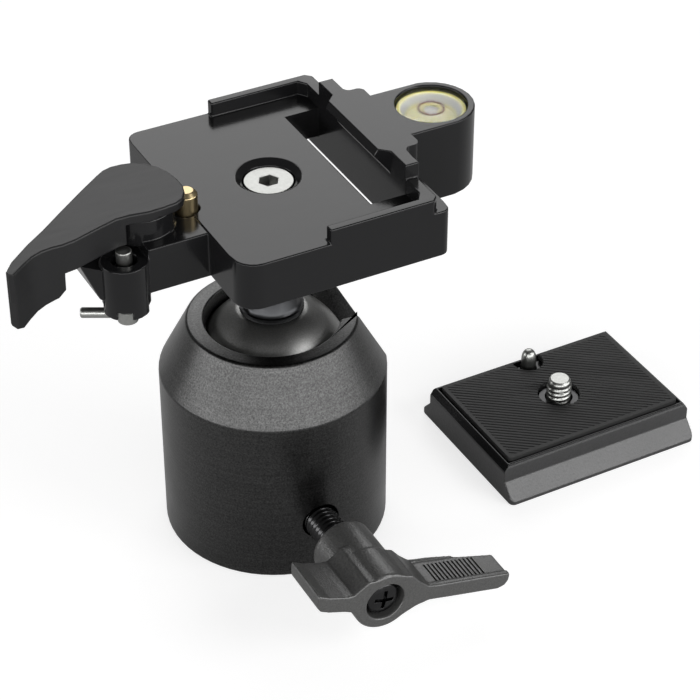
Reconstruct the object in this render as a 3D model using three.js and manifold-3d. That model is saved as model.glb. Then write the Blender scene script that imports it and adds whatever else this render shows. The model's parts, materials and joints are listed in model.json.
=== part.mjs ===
// A tripod ball head with a quick-release clamp, and its camera plate lying beside it.
// Millimetres, +Z up. The origin is the middle of the housing's underside, +X runs from the
// quick-release lever to the bubble level, and the clamping lever points along -Y.

import * as THREE from 'three';
import { mergeVertices } from 'three/addons/utils/BufferGeometryUtils.js';
import Module from 'manifold-3d';

const wasm = await Module();
wasm.setup();

// Clearances
const gap = { slip: 0.3, close: 0.2, wide: 0.45, travel: 0.7, over: 1, plateEnd: 1.45, plateSide: 0.1 };

// How finely the round pieces are divided
const sides = { large: 64, ball: 48, medium: 36, small: 24, thread: 20, fine: 16 };
const tube = { sidesRound: 5, stepsPerTurn: 8 };
const arcSteps = 12;
const hiddenSteps = 6;
const ballSteps = 18;
const cornerSteps = 5;
const rowsPerPitch = 4;
const quarterTurn = 90;
const fullTurn = Math.PI * 2;
const weld = 1e-5;

// Driving dimensions of the housing and what is in it
const housing = {
  wall: 7.6,
  footChamfer: 0.6,
  shoulder: 41.9,
  rim: 54.9,
  rimInset: 6.9,
  rimInner: 15.5,
  rimRound: 0.5,
  lipRadius: 14.75,
  plugSeat: 9,
  plugLedge: 2.7,
};
const ball = { radius: 18, flatRadius: 7.6, boreRadius: 4.4, boreDepth: 13 };
const notch = { azimuth: -5, halfWidth: 7.5, start: 10 };
const plug = { spannerRadius: 1.5, spannerCircle: 13, spannerDepth: 3 };
const insert = { radius: 6.2, bore: 3.97 };
const cup = { underside: 15.2, floor: 6.4, footRadius: 7.2, lipWidth: 1.1 };
const liner = { thickness: 0.75, startAngle: 8, endAngle: 40 };
const stem = {
  radius: 6,
  length: 21.8,
  collarRadius: 7.25,
  collarHeight: 1,
  filletRadius: 0.7,
  boreRadius: 2.9,
  boreDepth: 14,
  tenonLength: 12.6,
};

// Clamp casting, from its middle outwards and from its deck up or down
const clamp = {
  left: -20.6,
  right: 28.1,
  halfWidth: 29.9,
  thickness: 11.1,
  frontLeftRound: 5,
  backLeftRound: 3,
  rightRound: 2,
};
const wall = {
  start: -0.4,
  setBack: 2.9,
  thickness: 2.2,
  returnThickness: 2.7,
  height: 3.4,
  end: 20,
  cornerX: 1.4,
  cornerY: 2.2,
};
const slot = { width: 8.2, halfLength: 20.2, lipDepth: 7.45, underReach: 6 };
const jaw = {
  inner: 22.4,
  height: 6.9,
  thickness: 3.3,
  halfLength: 20,
  blockThickness: 7.3,
  blockHalf: 13.4,
  stepRound: 1.6,
  lipReach: 2,
  lipDepth: 0.35,
  tipReach: 2.9,
  tipDrop: 1.7,
  undercut: 5.3,
  lipHalf: 11.3,
  lipRootHalf: 13.3,
};
const levelArm = { reach: 17.4, halfWidth: 9.5, endRadius: 9.6, drop: 0.5, overlap: 1.5, endAngle: 81 };
const vial = {
  pocketRadius: 7.95,
  pocketDepth: 8,
  cupRadius: 7.7,
  cupWall: 0.7,
  floor: 0.9,
  fluidDepth: 5,
  dimpleRadius: 1.85,
  dimpleDepth: 0.5,
  ringRadius: 3,
  ringWidth: 0.35,
  ringThickness: 0.2,
  lensRadius: 7.5,
  lensThickness: 0.4,
  lensSink: 0.5,
};
const seat = { recessRadius: 7.2, rimRadius: 5.8, recessDepth: 1.2, rimDepth: 0.4, bore: 3.3, coneGap: 0.35 };
const mountScrew = {
  headRadius: 5.4,
  headRim: 0.4,
  shankRadius: 2.5,
  length: 20,
  socketAcross: 4,
  socketDepth: 2.6,
};

// The casting's arm under the quick-release lever
const pivot = { reach: 11.1, y: -3.5, headRadius: 4.2, headDepth: 2.4, shankRadius: 3 };
const leverArm = {
  front: 10.3,
  back: 13.1,
  stepReach: 2.5,
  endReach: 15.6,
  endUnderReach: 12.7,
  sink: 0.4,
  lowSink: 3.6,
  cornerCut: 3.5,
  backCut: 8,
  setBack: 2,
  hubRadius: 10,
  collarRadius: 7.5,
};
const boss = {
  x: -6.9,
  y: -7.7,
  radius: 5.1,
  drop: 3.9,
  sink: 2.8,
  slotDepth: 1.9,
  slotWidth: 3,
  shoulder: 4,
};
const lockBore = { radius: 2.75, lower: 2.05 };
const lockPin = { radius: 1.7, knobRadius: 2.2, knobHeight: 2.8, drop: 3, rise: 2.3, tipChamfer: 0.2 };
const lockHandle = { radius: 1.15, height: 1.8, reach: 9.9, azimuth: 152.2, round: 0.3 };
const lockCollar = { radius: 2.45, rise: 5.3, thickness: 1 };
const trigger = { overhang: 0.4, y: -3.7, radius: 2.5, foot: 1.5, tipChamfer: 0.9, floor: 0.9 };

// Quick-release lever: its head is drawn in shares of a radius, its arm in shares of a length and a breadth
const lever = {
  headRadius: 9.79,
  length: 34.4,
  breadth: 16.1,
  height: 7,
  roof: 2,
  wall: 1.6,
  hubRadius: 5,
  hollowReach: 21.3,
  hang: 10,
};
const leverSwing = { angle: 60, spareAngle: 4 };
const tab = { tipHeight: 7.3, rootHeight: 5.7, thickness: 1.9, cornerCut: 1.6 };
const window = { left: 5.7, right: 6.3, front: 9.1, back: 2.9, rise: 4.8 };
const headFarShares = [
  [0.832, 0.76], [0.647, 1.027], [0.38, 1.201], [0.154, 1.253], [-0.092, 1.263], [-0.298, 1.201],
];
const armFarShares = [
  [0.142, 0.646], [0.294, 0.398], [0.483, 0.075], [0.654, -0.224], [0.791, -0.441], [0.927, -0.689],
  [0.988, -0.851], [1, -0.957],
];
const tabShares = [
  [0.974, -1], [0.927, -0.925], [0.869, -0.826], [0.805, -0.733], [0.741, -0.683], [0.677, -0.665],
  [0.608, -0.671],
];
const armNearShares = [[0.529, -0.646], [0.352, -0.522], [0.224, -0.441], [0.137, -0.441]];
const headNearShares = [
  [-0.072, -0.791], [0.277, -0.78], [0.585, -0.739], [0.77, -0.626], [0.914, -0.4], [0.986, -0.154],
  [0.986, 0.154], [0.934, 0.483],
];

const springs = {
  cup: { radius: 5.4, wire: 0.6, turns: 2.5 },
  lever: { radius: 6, wire: 0.35, turns: 3 },
  trigger: { radius: 1.9, wire: 0.25, turns: 3 },
  lock: { radius: 2.3, wire: 0.25, turns: 3 },
  wing: { radius: 3.3, wire: 0.35, turns: 2.5 },
  video: { radius: 2.3, wire: 0.2, turns: 2 },
};

// Clamping screw and its lever, in a frame of their own: u to the right, v up, w outwards along -Y
const screwAxis = { x: -1.2, z: 14.6 };
const stud = {
  radius: 4,
  root: 3.35,
  pitch: 1.25,
  threadInHub: 5.9,
  plain: 3.9,
  hole: 2.5,
  holeDepth: 11,
  bore: 4.4,
};
const wedge = { radius: 3.9, inset: 4.3, noseCone: 8 };
const hub = {
  radius: 7.3,
  collarRadius: 7.1,
  standOff: 9.2,
  collarLength: 10.9,
  length: 21.2,
  edge: 0.6,
  bore: 4.3,
  boreDepth: 12.4,
  recessRadius: 4.6,
  recessDepth: 7.3,
  webHole: 2.75,
};
const wing = {
  tilt: -13,
  longReach: 32,
  shortReach: 17.6,
  longBack: 11.1,
  shortBack: 8.1,
  tipBack: 13.3,
  panelDepth: 0.5,
  frontBorder: 1.5,
  backBorder: 0.9,
};
const topShare = 0.33;
const longShares = [
  [0, -0.71], [0.147, -0.67], [0.263, -0.36], [0.362, -0.21], [0.528, -0.22], [0.925, -0.22], [0.978, -0.12],
  [1, 0.08], [0.994, topShare], [0.741, topShare], [0.416, 0.32], [0.331, 0.34], [0.25, 0.55],
  [0.175, 0.82], [0, 0.96],
];
const shortShares = [
  [0, 0.9], [0.318, 0.82], [0.409, 0.6], [0.489, 0.42], [0.591, 0.4], [0.835, 0.48], [0.989, 0.59], [1, 0.47],
  [0.966, 0.12], [0.915, 0], [0.795, -0.08], [0.568, -0.15], [0.455, -0.22], [0.364, -0.47],
  [0.239, -0.74], [0, -0.82],
];
const panelShare = 0.34;
const gripShares = { from: 0.42, pitch: 0.0325, width: 0.016 };
const grip = { count: 13, depth: 0.35, margin: 0.5, back: 12.4 };
const wingScrew = {
  headRadius: 3.95,
  headHeight: 2.3,
  dome: 0.9,
  shank: 2.2,
  length: 15.1,
  crossWidth: 0.9,
  crossLength: 4.6,
  crossDepth: 1.2,
};
const domeShares = [0.3, 0.6, 0.85];
const wingSpringRoom = 4.4;

// The loose plate's own frame: x along its long side, y across, z up from the table
const plateAt = { x: 74.6, y: -5.5, yaw: 0.8 };
const plate = {
  deckBorder: 0.4,
  flange: 1,
  shoulder: 4.9,
  neckInset: 3.6,
  edge: 8.7,
  top: 9.5,
  edgeRound: 0.6,
  endCut: 1.2,
  endDrop: 1.9,
  corner: 1.4,
};
const padSeat = { borderEnd: 1.65, borderSide: 0.6, floor: 8.5 };
const pad = { grooveEnd: 0.5, grooveSide: 0.4, thickness: 1.6, corner: 1, hole: 5.15 };
const under = { clearance: 1.35, web: 5, bore: 3.5 };
const cameraScrew = {
  radius: 3.17,
  root: 2.6,
  pitch: 1.27,
  top: 14.8,
  threadFrom: 6,
  headRadius: 7.6,
  headFrom: 1.4,
  headTo: 4.4,
  slotWidth: 1.6,
  slotDepth: 1.2,
};
const clip = { width: 1.35, inner: 3.45, thickness: 0.5 };
const bail = { radius: 8.7, wire: 0.85, height: 2.4, pinReach: 2, steps: 14, roundSides: 8 };
const videoPin = { x: 0.3, y: 14.4, radius: 1.85, top: 14, dome: 0.6, flange: 2.6, flangeThickness: 0.7 };
const videoSeat = { bore: 2.1, pocket: 2.95, cutHalf: 3.9, cutDepth: 5.1, capThickness: 0.6 };

// Heights and places that follow from the sizes above
const socketRadius = ball.radius + gap.slip;
const housingRadius = socketRadius + housing.wall;
const rimOuter = housingRadius - housing.rimInset;
const wedgeOuter = housingRadius - wedge.inset;
const plugSeatRadius = socketRadius + housing.plugLedge;
const plugTop = housing.plugSeat - gap.slip;
const linerInner = ball.radius + gap.close;
const linerOuter = linerInner + liner.thickness;
const cupBowl = linerOuter + gap.wide;
const ballCentre = cup.underside + (cup.floor + cupBowl);
const flatHeight = ballCentre + Math.sqrt(ball.radius ** 2 - ball.flatRadius ** 2);
const collarFoot = flatHeight + gap.close;
const collarTop = collarFoot + stem.collarHeight;
const stemTop = collarTop + stem.length;
const clampUnder = stemTop + gap.close;
const deck = clampUnder + clamp.thickness;
const wallTop = deck + wall.height;
const jawTop = deck + jaw.height;
const armTop = deck - leverArm.sink;
const armLow = deck - leverArm.lowSink;
const leverFoot = armTop + gap.slip;
const leverTop = leverFoot + lever.height;
const leverRoof = leverTop - lever.roof;
const pivotX = clamp.left - pivot.reach;
const bossX = pivotX + boss.x;
const bossY = pivot.y + boss.y;
const bossUnder = clampUnder - boss.drop;
const bossTop = deck - boss.sink;
const triggerX = clamp.left - trigger.overhang;
const triggerTop = leverRoof - gap.slip;
const triggerFoot = deck - trigger.foot;
const triggerReach = Math.hypot(triggerX - pivotX, trigger.y - pivot.y);
const triggerTurn = THREE.MathUtils.radToDeg(Math.atan2(trigger.y - pivot.y, triggerX - pivotX));
const triggerRoom = triggerReach - trigger.radius - gap.wide;
const jawOuter = jaw.inner + jaw.thickness;
const blockOuter = jaw.inner + jaw.blockThickness;
const levelX = jaw.inner + levelArm.reach;
const wallOuterX = clamp.right - wall.setBack;
const wallInnerX = wallOuterX - wall.returnThickness;
const slotLeft = jaw.inner - slot.width;
const hubBack = housingRadius + hub.standOff;
const hubFront = hubBack + hub.length;
const hubStep = hubBack + hub.collarLength;
const boreEnd = hubBack + hub.boreDepth;
const recessFloor = hubFront - hub.recessDepth;
const wingTop = hub.radius * topShare;
const longBack = hubBack + wing.longBack;
const plateHalfLength = clamp.halfWidth - wall.thickness - gap.plateEnd;
const plateHalfWidth = (jaw.inner - clamp.left - plate.deckBorder) / 2 - gap.plateSide;
const plateNeck = plateHalfWidth - plate.neckInset;
const plateRim = plateNeck - plate.edgeRound;

// Materials
const paint = new THREE.MeshStandardMaterial({ color: 0x141416, roughness: 0.35, metalness: 0.1 });
const anodised = new THREE.MeshStandardMaterial({ color: 0x57575b, roughness: 0.5, metalness: 0.8 });
const ballMetal = new THREE.MeshStandardMaterial({ color: 0x4a4a4c, roughness: 0.4, metalness: 0.9 });
const blackChrome = new THREE.MeshStandardMaterial({ color: 0x3c3c40, roughness: 0.12, metalness: 1 });
const leverMetal = new THREE.MeshStandardMaterial({ color: 0x66666a, roughness: 0.45, metalness: 0.7 });
const steel = new THREE.MeshStandardMaterial({ color: 0xc9cacb, roughness: 0.25, metalness: 1 });
const darkSteel = new THREE.MeshStandardMaterial({ color: 0x303032, roughness: 0.35, metalness: 0.9 });
const brass = new THREE.MeshStandardMaterial({ color: 0xc49a4a, roughness: 0.3, metalness: 1 });
const plastic = new THREE.MeshStandardMaterial({ color: 0x4f4f52, roughness: 0.6, metalness: 0 });
const rubber = new THREE.MeshStandardMaterial({ color: 0x2a2a2b, roughness: 0.85, metalness: 0 });
const acetal = new THREE.MeshStandardMaterial({ color: 0xe6e4da, roughness: 0.5, metalness: 0 });
const acrylic = new THREE.MeshStandardMaterial({ color: 0xf2f5ee, roughness: 0.05, metalness: 0 });
const fluidGreen = new THREE.MeshStandardMaterial({ color: 0xdbe59a, roughness: 0.05, metalness: 0 });
const ringRed = new THREE.MeshStandardMaterial({ color: 0x7a2f22, roughness: 0.5, metalness: 0 });

const radians = THREE.MathUtils.degToRad;

// Solids

function solidOf(geometry) {
  const bare = geometry.clone();
  bare.deleteAttribute('normal');
  bare.deleteAttribute('uv');
  const welded = mergeVertices(bare, weld);
  const vertProperties = new Float32Array(welded.attributes.position.array);
  const triVerts = new Uint32Array(welded.index.array);
  const whole = new wasm.Manifold(new wasm.Mesh({ numProp: 3, vertProperties, triVerts }));
  if (whole.volume() >= 0) return whole;
  for (let i = 0; i < triVerts.length; i += 3) {
    [triVerts[i], triVerts[i + 1]] = [triVerts[i + 1], triVerts[i]];
  }
  return new wasm.Manifold(new wasm.Mesh({ numProp: 3, vertProperties, triVerts }));
}

function geometryOf(solid) {
  const mesh = solid.getMesh();
  const geometry = new THREE.BufferGeometry();
  geometry.setAttribute('position', new THREE.BufferAttribute(new Float32Array(mesh.vertProperties), 3));
  geometry.setIndex(new THREE.BufferAttribute(new Uint32Array(mesh.triVerts), 1));
  const flat = geometry.toNonIndexed();
  flat.computeVertexNormals();
  return flat;
}

const join = (first, ...rest) => rest.reduce((whole, piece) => whole.add(piece), first);
const cut = (first, ...rest) => rest.reduce((whole, piece) => whole.subtract(piece), first);

function lathe(profile, divisions) {
  const points = profile.map(([r, z]) => new THREE.Vector2(Math.max(r, 0), z));
  const geometry = new THREE.LatheGeometry(points, divisions);
  geometry.rotateX(radians(quarterTurn));
  return solidOf(geometry);
}

function ring(inner, outer, from, to, divisions) {
  return lathe([[inner, from], [outer, from], [outer, to], [inner, to], [inner, from]], divisions);
}

function rod(radius, from, to, divisions) {
  return lathe([[0, from], [radius, from], [radius, to], [0, to]], divisions);
}

function chamferedRod(radius, from, to, chamfer, divisions) {
  const profile = [[0, from], [radius, from], [radius, to - chamfer], [radius - chamfer, to], [0, to]];
  return lathe(profile, divisions);
}

function block(left, right, front, back, from, to) {
  const geometry = new THREE.BoxGeometry(right - left, back - front, to - from);
  geometry.translate((left + right) / 2, (front + back) / 2, (from + to) / 2);
  return solidOf(geometry);
}

function prism(outline, from, to) {
  const shape = new THREE.Shape(outline.map(([x, y]) => new THREE.Vector2(x, y)));
  const geometry = new THREE.ExtrudeGeometry(shape, { depth: to - from, bevelEnabled: false });
  geometry.translate(0, 0, from);
  return solidOf(geometry);
}

function moved(solid, x, y, z) {
  return solid.translate([x, y, z]);
}

// A profile drawn in x and z, given its depth along y
function sheetAlongY(outline, front, back) {
  return prism(outline.map(([x, z]) => [x, z]), -back, -front).rotate([quarterTurn, 0, 0]);
}

// A profile drawn in y and z, given its length along x
function sheetAlongX(outline, from, to) {
  return prism(outline, from, to).rotate([quarterTurn, 0, quarterTurn]);
}

function roundedRectangle(left, right, front, back, rounds) {
  const [frontLeft, frontRight, backRight, backLeft] = rounds;
  const corners = [
    [left + frontLeft, front + frontLeft, frontLeft, 180],
    [right - frontRight, front + frontRight, frontRight, 270],
    [right - backRight, back - backRight, backRight, 0],
    [left + backLeft, back - backLeft, backLeft, 90],
  ];
  return corners.flatMap(([x, y, radius, start]) => arc(x, y, radius, start, start + 90, cornerSteps));
}

function arc(x, y, radius, start, end, steps) {
  return Array.from({ length: steps + 1 }, (_, i) => {
    const angle = radians(start + ((end - start) * i) / steps);
    return [x + radius * Math.cos(angle), y + radius * Math.sin(angle)];
  });
}

// A coil of round wire standing on z
function coil({ radius, wire, turns }, from, to) {
  const path = new Helix(radius, turns, from + wire, to - wire);
  const circle = arc(0, 0, wire, 0, 360, tube.sidesRound).slice(0, -1);
  const section = new THREE.Shape(circle.map(([x, y]) => new THREE.Vector2(x, y)));
  const steps = Math.round(turns * tube.stepsPerTurn);
  const geometry = new THREE.ExtrudeGeometry(section, { steps, extrudePath: path });
  const rise = (to - from - wire - wire) / turns;
  leastGaps.push(rise - wire - wire);
  return solidOf(geometry);
}

class Helix extends THREE.Curve {
  constructor(radius, turns, from, to) {
    super();
    Object.assign(this, { radius, turns, from, to });
  }

  getPoint(t, target = new THREE.Vector3()) {
    const angle = t * this.turns * fullTurn;
    const height = this.from + t * (this.to - this.from);
    return target.set(this.radius * Math.cos(angle), this.radius * Math.sin(angle), height);
  }
}

// A screw thread: a rod whose radius follows the helix, closed at both ends
function threaded(crest, root, pitch, from, to, divisions) {
  const rows = Math.ceil(((to - from) / pitch) * rowsPerPitch);
  const positions = [0, 0, from];
  for (let row = 0; row <= rows; row += 1) {
    const z = from + ((to - from) * row) / rows;
    for (let i = 0; i < divisions; i += 1) {
      const angle = (fullTurn * i) / divisions;
      const phase = (((z - from) / pitch - i / divisions) % 1 + 1) % 1;
      const height = 1 - Math.abs(phase + phase - 1);
      const radius = root + (crest - root) * height;
      positions.push(radius * Math.cos(angle), radius * Math.sin(angle), z);
    }
  }
  positions.push(0, 0, to);
  const last = positions.length / 3 - 1;
  const faces = [];
  for (let i = 0; i < divisions; i += 1) {
    const next = (i + 1) % divisions;
    faces.push(0, 1 + next, 1 + i);
    faces.push(last, last - divisions + i, last - divisions + next);
    for (let row = 0; row < rows; row += 1) {
      const low = 1 + row * divisions;
      const high = low + divisions;
      faces.push(low + i, low + next, high + next);
      faces.push(low + i, high + next, high + i);
    }
  }
  const geometry = new THREE.BufferGeometry();
  geometry.setAttribute('position', new THREE.Float32BufferAttribute(positions, 3));
  geometry.setIndex(faces);
  return solidOf(geometry);
}

const leastGaps = [];

const part = new THREE.Group();
part.name = 'tripod_ball_head';

function add(name, solid, material) {
  const mesh = new THREE.Mesh(geometryOf(solid), material);
  mesh.name = name;
  part.add(mesh);
}

// Housing: a cylinder with a conical top, hollow for the ball and the parts that clamp it

function sphereArc(radius, startRadius, endRadius, steps) {
  const start = Math.asin(startRadius / radius);
  const end = Math.asin(endRadius / radius);
  return Array.from({ length: steps + 1 }, (_, i) => {
    const angle = start + ((end - start) * i) / steps;
    return [radius * Math.sin(angle), ballCentre + radius * Math.cos(angle)];
  });
}

const housingProfile = [
  [plugSeatRadius, 0],
  [housingRadius - housing.footChamfer, 0],
  [housingRadius, housing.footChamfer],
  [housingRadius, housing.shoulder],
  [rimOuter + housing.rimRound, housing.rim - housing.rimRound],
  [rimOuter, housing.rim],
  [housing.rimInner, housing.rim],
  ...sphereArc(socketRadius, housing.lipRadius, socketRadius, hiddenSteps),
  [socketRadius, housing.plugSeat],
  [plugSeatRadius, housing.plugSeat],
  [plugSeatRadius, 0],
];
const notchOutline = [
  ...arc(0, ballCentre, notch.halfWidth, 180, 360, arcSteps),
  [notch.halfWidth, housing.rim + gap.over],
  [-notch.halfWidth, housing.rim + gap.over],
];
const outside = housingRadius + gap.over;
const notchCut = sheetAlongX(notchOutline, notch.start, outside).rotate([0, 0, notch.azimuth]);

// Stands a piece of the clamping lever's frame in the part's frame
function onScrewAxis(solid) {
  return moved(solid.rotate([quarterTurn, 0, 0]), screwAxis.x, 0, screwAxis.z);
}

const studBore = onScrewAxis(rod(stud.bore, socketRadius - gap.over * 2, outside, sides.small));
add('housing', cut(lathe(housingProfile, sides.large), notchCut, studBore), anodised);

const spannerHole = rod(plug.spannerRadius, -gap.over, gap.slip + plug.spannerDepth, sides.fine);
const plugBody = cut(
  ring(insert.radius + gap.close, plugSeatRadius - gap.slip, gap.slip, plugTop, sides.medium),
  moved(spannerHole, plug.spannerCircle, 0, 0),
  moved(spannerHole, -plug.spannerCircle, 0, 0),
);
add('base_plug', plugBody, anodised);
add('thread_insert', ring(insert.bore, insert.radius, gap.slip, plugTop, sides.small), steel);
add('cup_spring', coil(springs.cup, plugTop + gap.slip, cup.underside - gap.slip), steel);

// Wedge and pressure cup: the clamping screw pushes the wedge under the cup's cone
const noseFoot = cup.underside - wedge.noseCone + gap.wide;
const noseHigh = screwAxis.z + wedge.radius + gap.over;
const noseCut = [
  [-noseFoot, cup.underside],
  [-(noseHigh - wedge.noseCone + gap.wide), noseHigh],
  [gap.over, noseHigh],
  [gap.over, 0],
  [-noseFoot, 0],
];
const wedgeRod = onScrewAxis(rod(wedge.radius, 0, wedgeOuter, sides.small));
add('thrust_wedge', cut(wedgeRod, sheetAlongX(noseCut, -outside, outside)), brass);

function bowlArc(radius, start, end) {
  return Array.from({ length: hiddenSteps + 1 }, (_, i) => {
    const angle = radians(start + ((end - start) * i) / hiddenSteps);
    return [radius * Math.sin(angle), ballCentre - radius * Math.cos(angle)];
  });
}

const mouthAngle = THREE.MathUtils.radToDeg(Math.asin((ball.radius - cup.lipWidth) / cupBowl));
const bowl = bowlArc(cupBowl, mouthAngle, 0);
const [, bowlMouth] = bowl[0];
const cupProfile = [
  [0, cup.underside],
  [cup.footRadius, cup.underside],
  [ball.radius, cup.underside + ball.radius - cup.footRadius],
  [ball.radius, bowlMouth],
  ...bowl,
];
add('pressure_cup', lathe(cupProfile, sides.medium), acetal);

const linerProfile = [
  ...bowlArc(linerOuter, liner.startAngle, liner.endAngle),
  ...bowlArc(linerInner, liner.endAngle, liner.startAngle),
];
linerProfile.push(linerProfile[0]);
add('friction_liner', lathe(linerProfile, sides.medium), acetal);

// Ball and stem
const ballArc = Array.from({ length: ballSteps + 1 }, (_, i) => {
  const top = Math.asin(ball.flatRadius / ball.radius);
  const angle = Math.PI + ((top - Math.PI) * i) / ballSteps;
  return [ball.radius * Math.sin(angle), ballCentre + ball.radius * Math.cos(angle)];
});
const boreFloor = flatHeight - ball.boreDepth;
const ballProfile = [...ballArc, [ball.boreRadius, flatHeight], [ball.boreRadius, boreFloor], [0, boreFloor]];
add('ball', lathe(ballProfile, sides.ball), ballMetal);

const tenonRadius = ball.boreRadius - gap.wide;
const stemProfile = [
  [0, collarFoot - stem.tenonLength],
  [tenonRadius, collarFoot - stem.tenonLength],
  [tenonRadius, collarFoot],
  [stem.collarRadius, collarFoot],
  [stem.collarRadius, collarTop],
  [stem.radius + stem.filletRadius, collarTop],
  [stem.radius, collarTop + stem.filletRadius],
  [stem.radius, stemTop],
  [stem.boreRadius, stemTop],
  [stem.boreRadius, stemTop - stem.boreDepth],
  [0, stemTop - stem.boreDepth],
];
add('stem', lathe(stemProfile, sides.medium), blackChrome);

// Clamp casting: deck, guide walls, fixed jaw, the bubble level's arm and the lever's arm
const deckRounds = [clamp.frontLeftRound, clamp.rightRound, clamp.rightRound, clamp.backLeftRound];
const deckOutline = roundedRectangle(clamp.left, clamp.right, -clamp.halfWidth, clamp.halfWidth, deckRounds);
const deckBody = prism(deckOutline, clampUnder, deck);

function guideWall(side) {
  const outer = clamp.halfWidth;
  const inner = clamp.halfWidth - wall.thickness;
  const outline = [
    [wall.start, side * inner],
    [wallInnerX - wall.cornerX, side * inner],
    [wallInnerX, side * (inner - wall.cornerY)],
    [wallInnerX, side * wall.end],
    [wallOuterX, side * wall.end],
    [wallOuterX, side * (outer - wall.cornerX)],
    [wallOuterX - wall.cornerX, side * outer],
    [wall.start, side * outer],
  ];
  return prism(side > 0 ? outline : outline.reverse(), deck - gap.over, wallTop);
}

const stepX = jawOuter + jaw.stepRound;
const stepY = jaw.blockHalf + jaw.stepRound;
const cornerX = blockOuter - jaw.stepRound;
const cornerY = jaw.blockHalf - jaw.stepRound;
const jawOutline = [
  [jaw.inner, -jaw.halfLength],
  [jawOuter, -jaw.halfLength],
  ...arc(stepX, -stepY, jaw.stepRound, 180, 90, arcSteps),
  ...arc(cornerX, -cornerY, jaw.stepRound, -90, 0, arcSteps),
  ...arc(cornerX, cornerY, jaw.stepRound, 0, 90, arcSteps),
  ...arc(stepX, stepY, jaw.stepRound, -90, -180, arcSteps),
  [jawOuter, jaw.halfLength],
  [jaw.inner, jaw.halfLength],
];
const jawBody = prism(jawOutline, clampUnder, jawTop);
const lipX = jaw.inner - jaw.lipReach;
const tipX = jaw.inner - jaw.tipReach;
const lipProfile = [
  [jaw.inner + gap.over, jawTop],
  [lipX, jawTop],
  [lipX, jawTop - jaw.lipDepth],
  [tipX, jawTop - jaw.tipDrop],
  [jaw.inner, jawTop - jaw.undercut],
  [jaw.inner + gap.over, jawTop - jaw.undercut],
];
const lipPlan = [
  [tipX - gap.over, -jaw.lipHalf],
  [lipX, -jaw.lipHalf],
  [jaw.inner, -jaw.lipRootHalf],
  [jawOuter, -jaw.lipRootHalf],
  [jawOuter, jaw.lipRootHalf],
  [jaw.inner, jaw.lipRootHalf],
  [lipX, jaw.lipHalf],
  [tipX - gap.over, jaw.lipHalf],
];
const jawLip = sheetAlongY(lipProfile.reverse(), -jaw.lipRootHalf, jaw.lipRootHalf).intersect(
  prism(lipPlan, clampUnder, jawTop),
);

const levelOutline = [
  [blockOuter - levelArm.overlap, -levelArm.halfWidth],
  ...arc(levelX, 0, levelArm.endRadius, -levelArm.endAngle, levelArm.endAngle, arcSteps),
  [blockOuter - levelArm.overlap, levelArm.halfWidth],
];
const levelCasting = prism(levelOutline, clampUnder - levelArm.drop, jawTop);
const vialFloor = jawTop - vial.pocketDepth;
const vialPocket = moved(rod(vial.pocketRadius, vialFloor, jawTop + gap.over, sides.medium), levelX, 0, 0);

const armFront = pivot.y - leverArm.front;
const armEndFront = armFront + leverArm.setBack;
const armBack = pivot.y + leverArm.back;
const armStep = pivotX - leverArm.stepReach;
const armEndX = pivotX - leverArm.endReach;
const armRoot = block(armStep, clamp.left + gap.over, armFront, armBack, clampUnder, armTop);
const armEnd = prism(
  [
    [armEndX + leverArm.cornerCut, armEndFront],
    [armStep + gap.over, armEndFront],
    [armStep + gap.over, armBack],
    [armEndX + leverArm.backCut, armBack],
    [armEndX, armBack - leverArm.backCut],
    [armEndX, armEndFront + leverArm.cornerCut],
  ],
  clampUnder,
  armLow,
);
const armHub = cut(
  moved(rod(leverArm.hubRadius, clampUnder, armTop, sides.medium), pivotX, pivot.y, 0),
  moved(rod(boss.radius + gap.wide, armLow, armTop + gap.over, sides.small), bossX, bossY, 0),
);
const endUnderX = pivotX - leverArm.endUnderReach;
const slopeRun = (armEndX - endUnderX) / (armLow - clampUnder);
const armSlope = sheetAlongY(
  [
    [endUnderX - slopeRun * gap.over, clampUnder - gap.over],
    [armEndX + slopeRun * gap.over, armLow + gap.over],
    [armEndX - leverArm.cornerCut, armLow + gap.over],
    [armEndX - leverArm.cornerCut, clampUnder - gap.over],
  ],
  -clamp.halfWidth,
  clamp.halfWidth,
);
const bossBody = moved(rod(boss.radius, bossUnder, bossTop, sides.small), bossX, bossY, 0);
const springRoom = springs.lever.radius + springs.lever.wire + gap.slip;
const springCollar = moved(
  ring(springRoom, leverArm.collarRadius, armTop - gap.over, leverRoof - gap.wide, sides.medium),
  pivotX,
  pivot.y,
  0,
);

const slotTop = block(slotLeft, jaw.inner, -slot.halfLength, slot.halfLength, clampUnder - gap.over, wallTop);
const underHalf = slot.halfLength + slot.underReach;
const lipUnder = deck - slot.lipDepth;
const slotUnder = block(slotLeft, jaw.inner, -underHalf, underHalf, clampUnder - gap.over, lipUnder);
const slotCut = join(slotTop, slotUnder);
const seatFloor = deck - seat.recessDepth;
const seatCone = seatFloor - seat.rimDepth;
const headFoot = seatCone - (seat.rimRadius - seat.bore);
const seatCut = lathe(
  [
    [0, clampUnder - gap.over],
    [seat.bore, clampUnder - gap.over],
    [seat.bore, headFoot],
    [seat.rimRadius, seatCone],
    [seat.rimRadius, seatFloor],
    [seat.recessRadius, deck],
    [seat.recessRadius, deck + gap.over],
    [0, deck + gap.over],
  ],
  sides.medium,
);
const pivotHeadTop = clampUnder + pivot.headDepth;
const pivotBore = moved(
  join(
    rod(pivot.shankRadius + gap.close, clampUnder - gap.over, armTop + gap.over, sides.small),
    rod(pivot.headRadius + gap.slip, clampUnder - gap.over, pivotHeadTop + gap.slip, sides.small),
  ),
  pivotX,
  pivot.y,
  0,
);
const bossShoulder = bossUnder + boss.shoulder;
const lockBoreCut = moved(
  join(
    rod(lockBore.lower, bossUnder - gap.over, bossTop, sides.small),
    rod(lockBore.radius, bossShoulder, bossTop + gap.over, sides.small),
  ),
  bossX,
  bossY,
  0,
);
const slotHalf = boss.slotWidth / 2;
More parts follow.
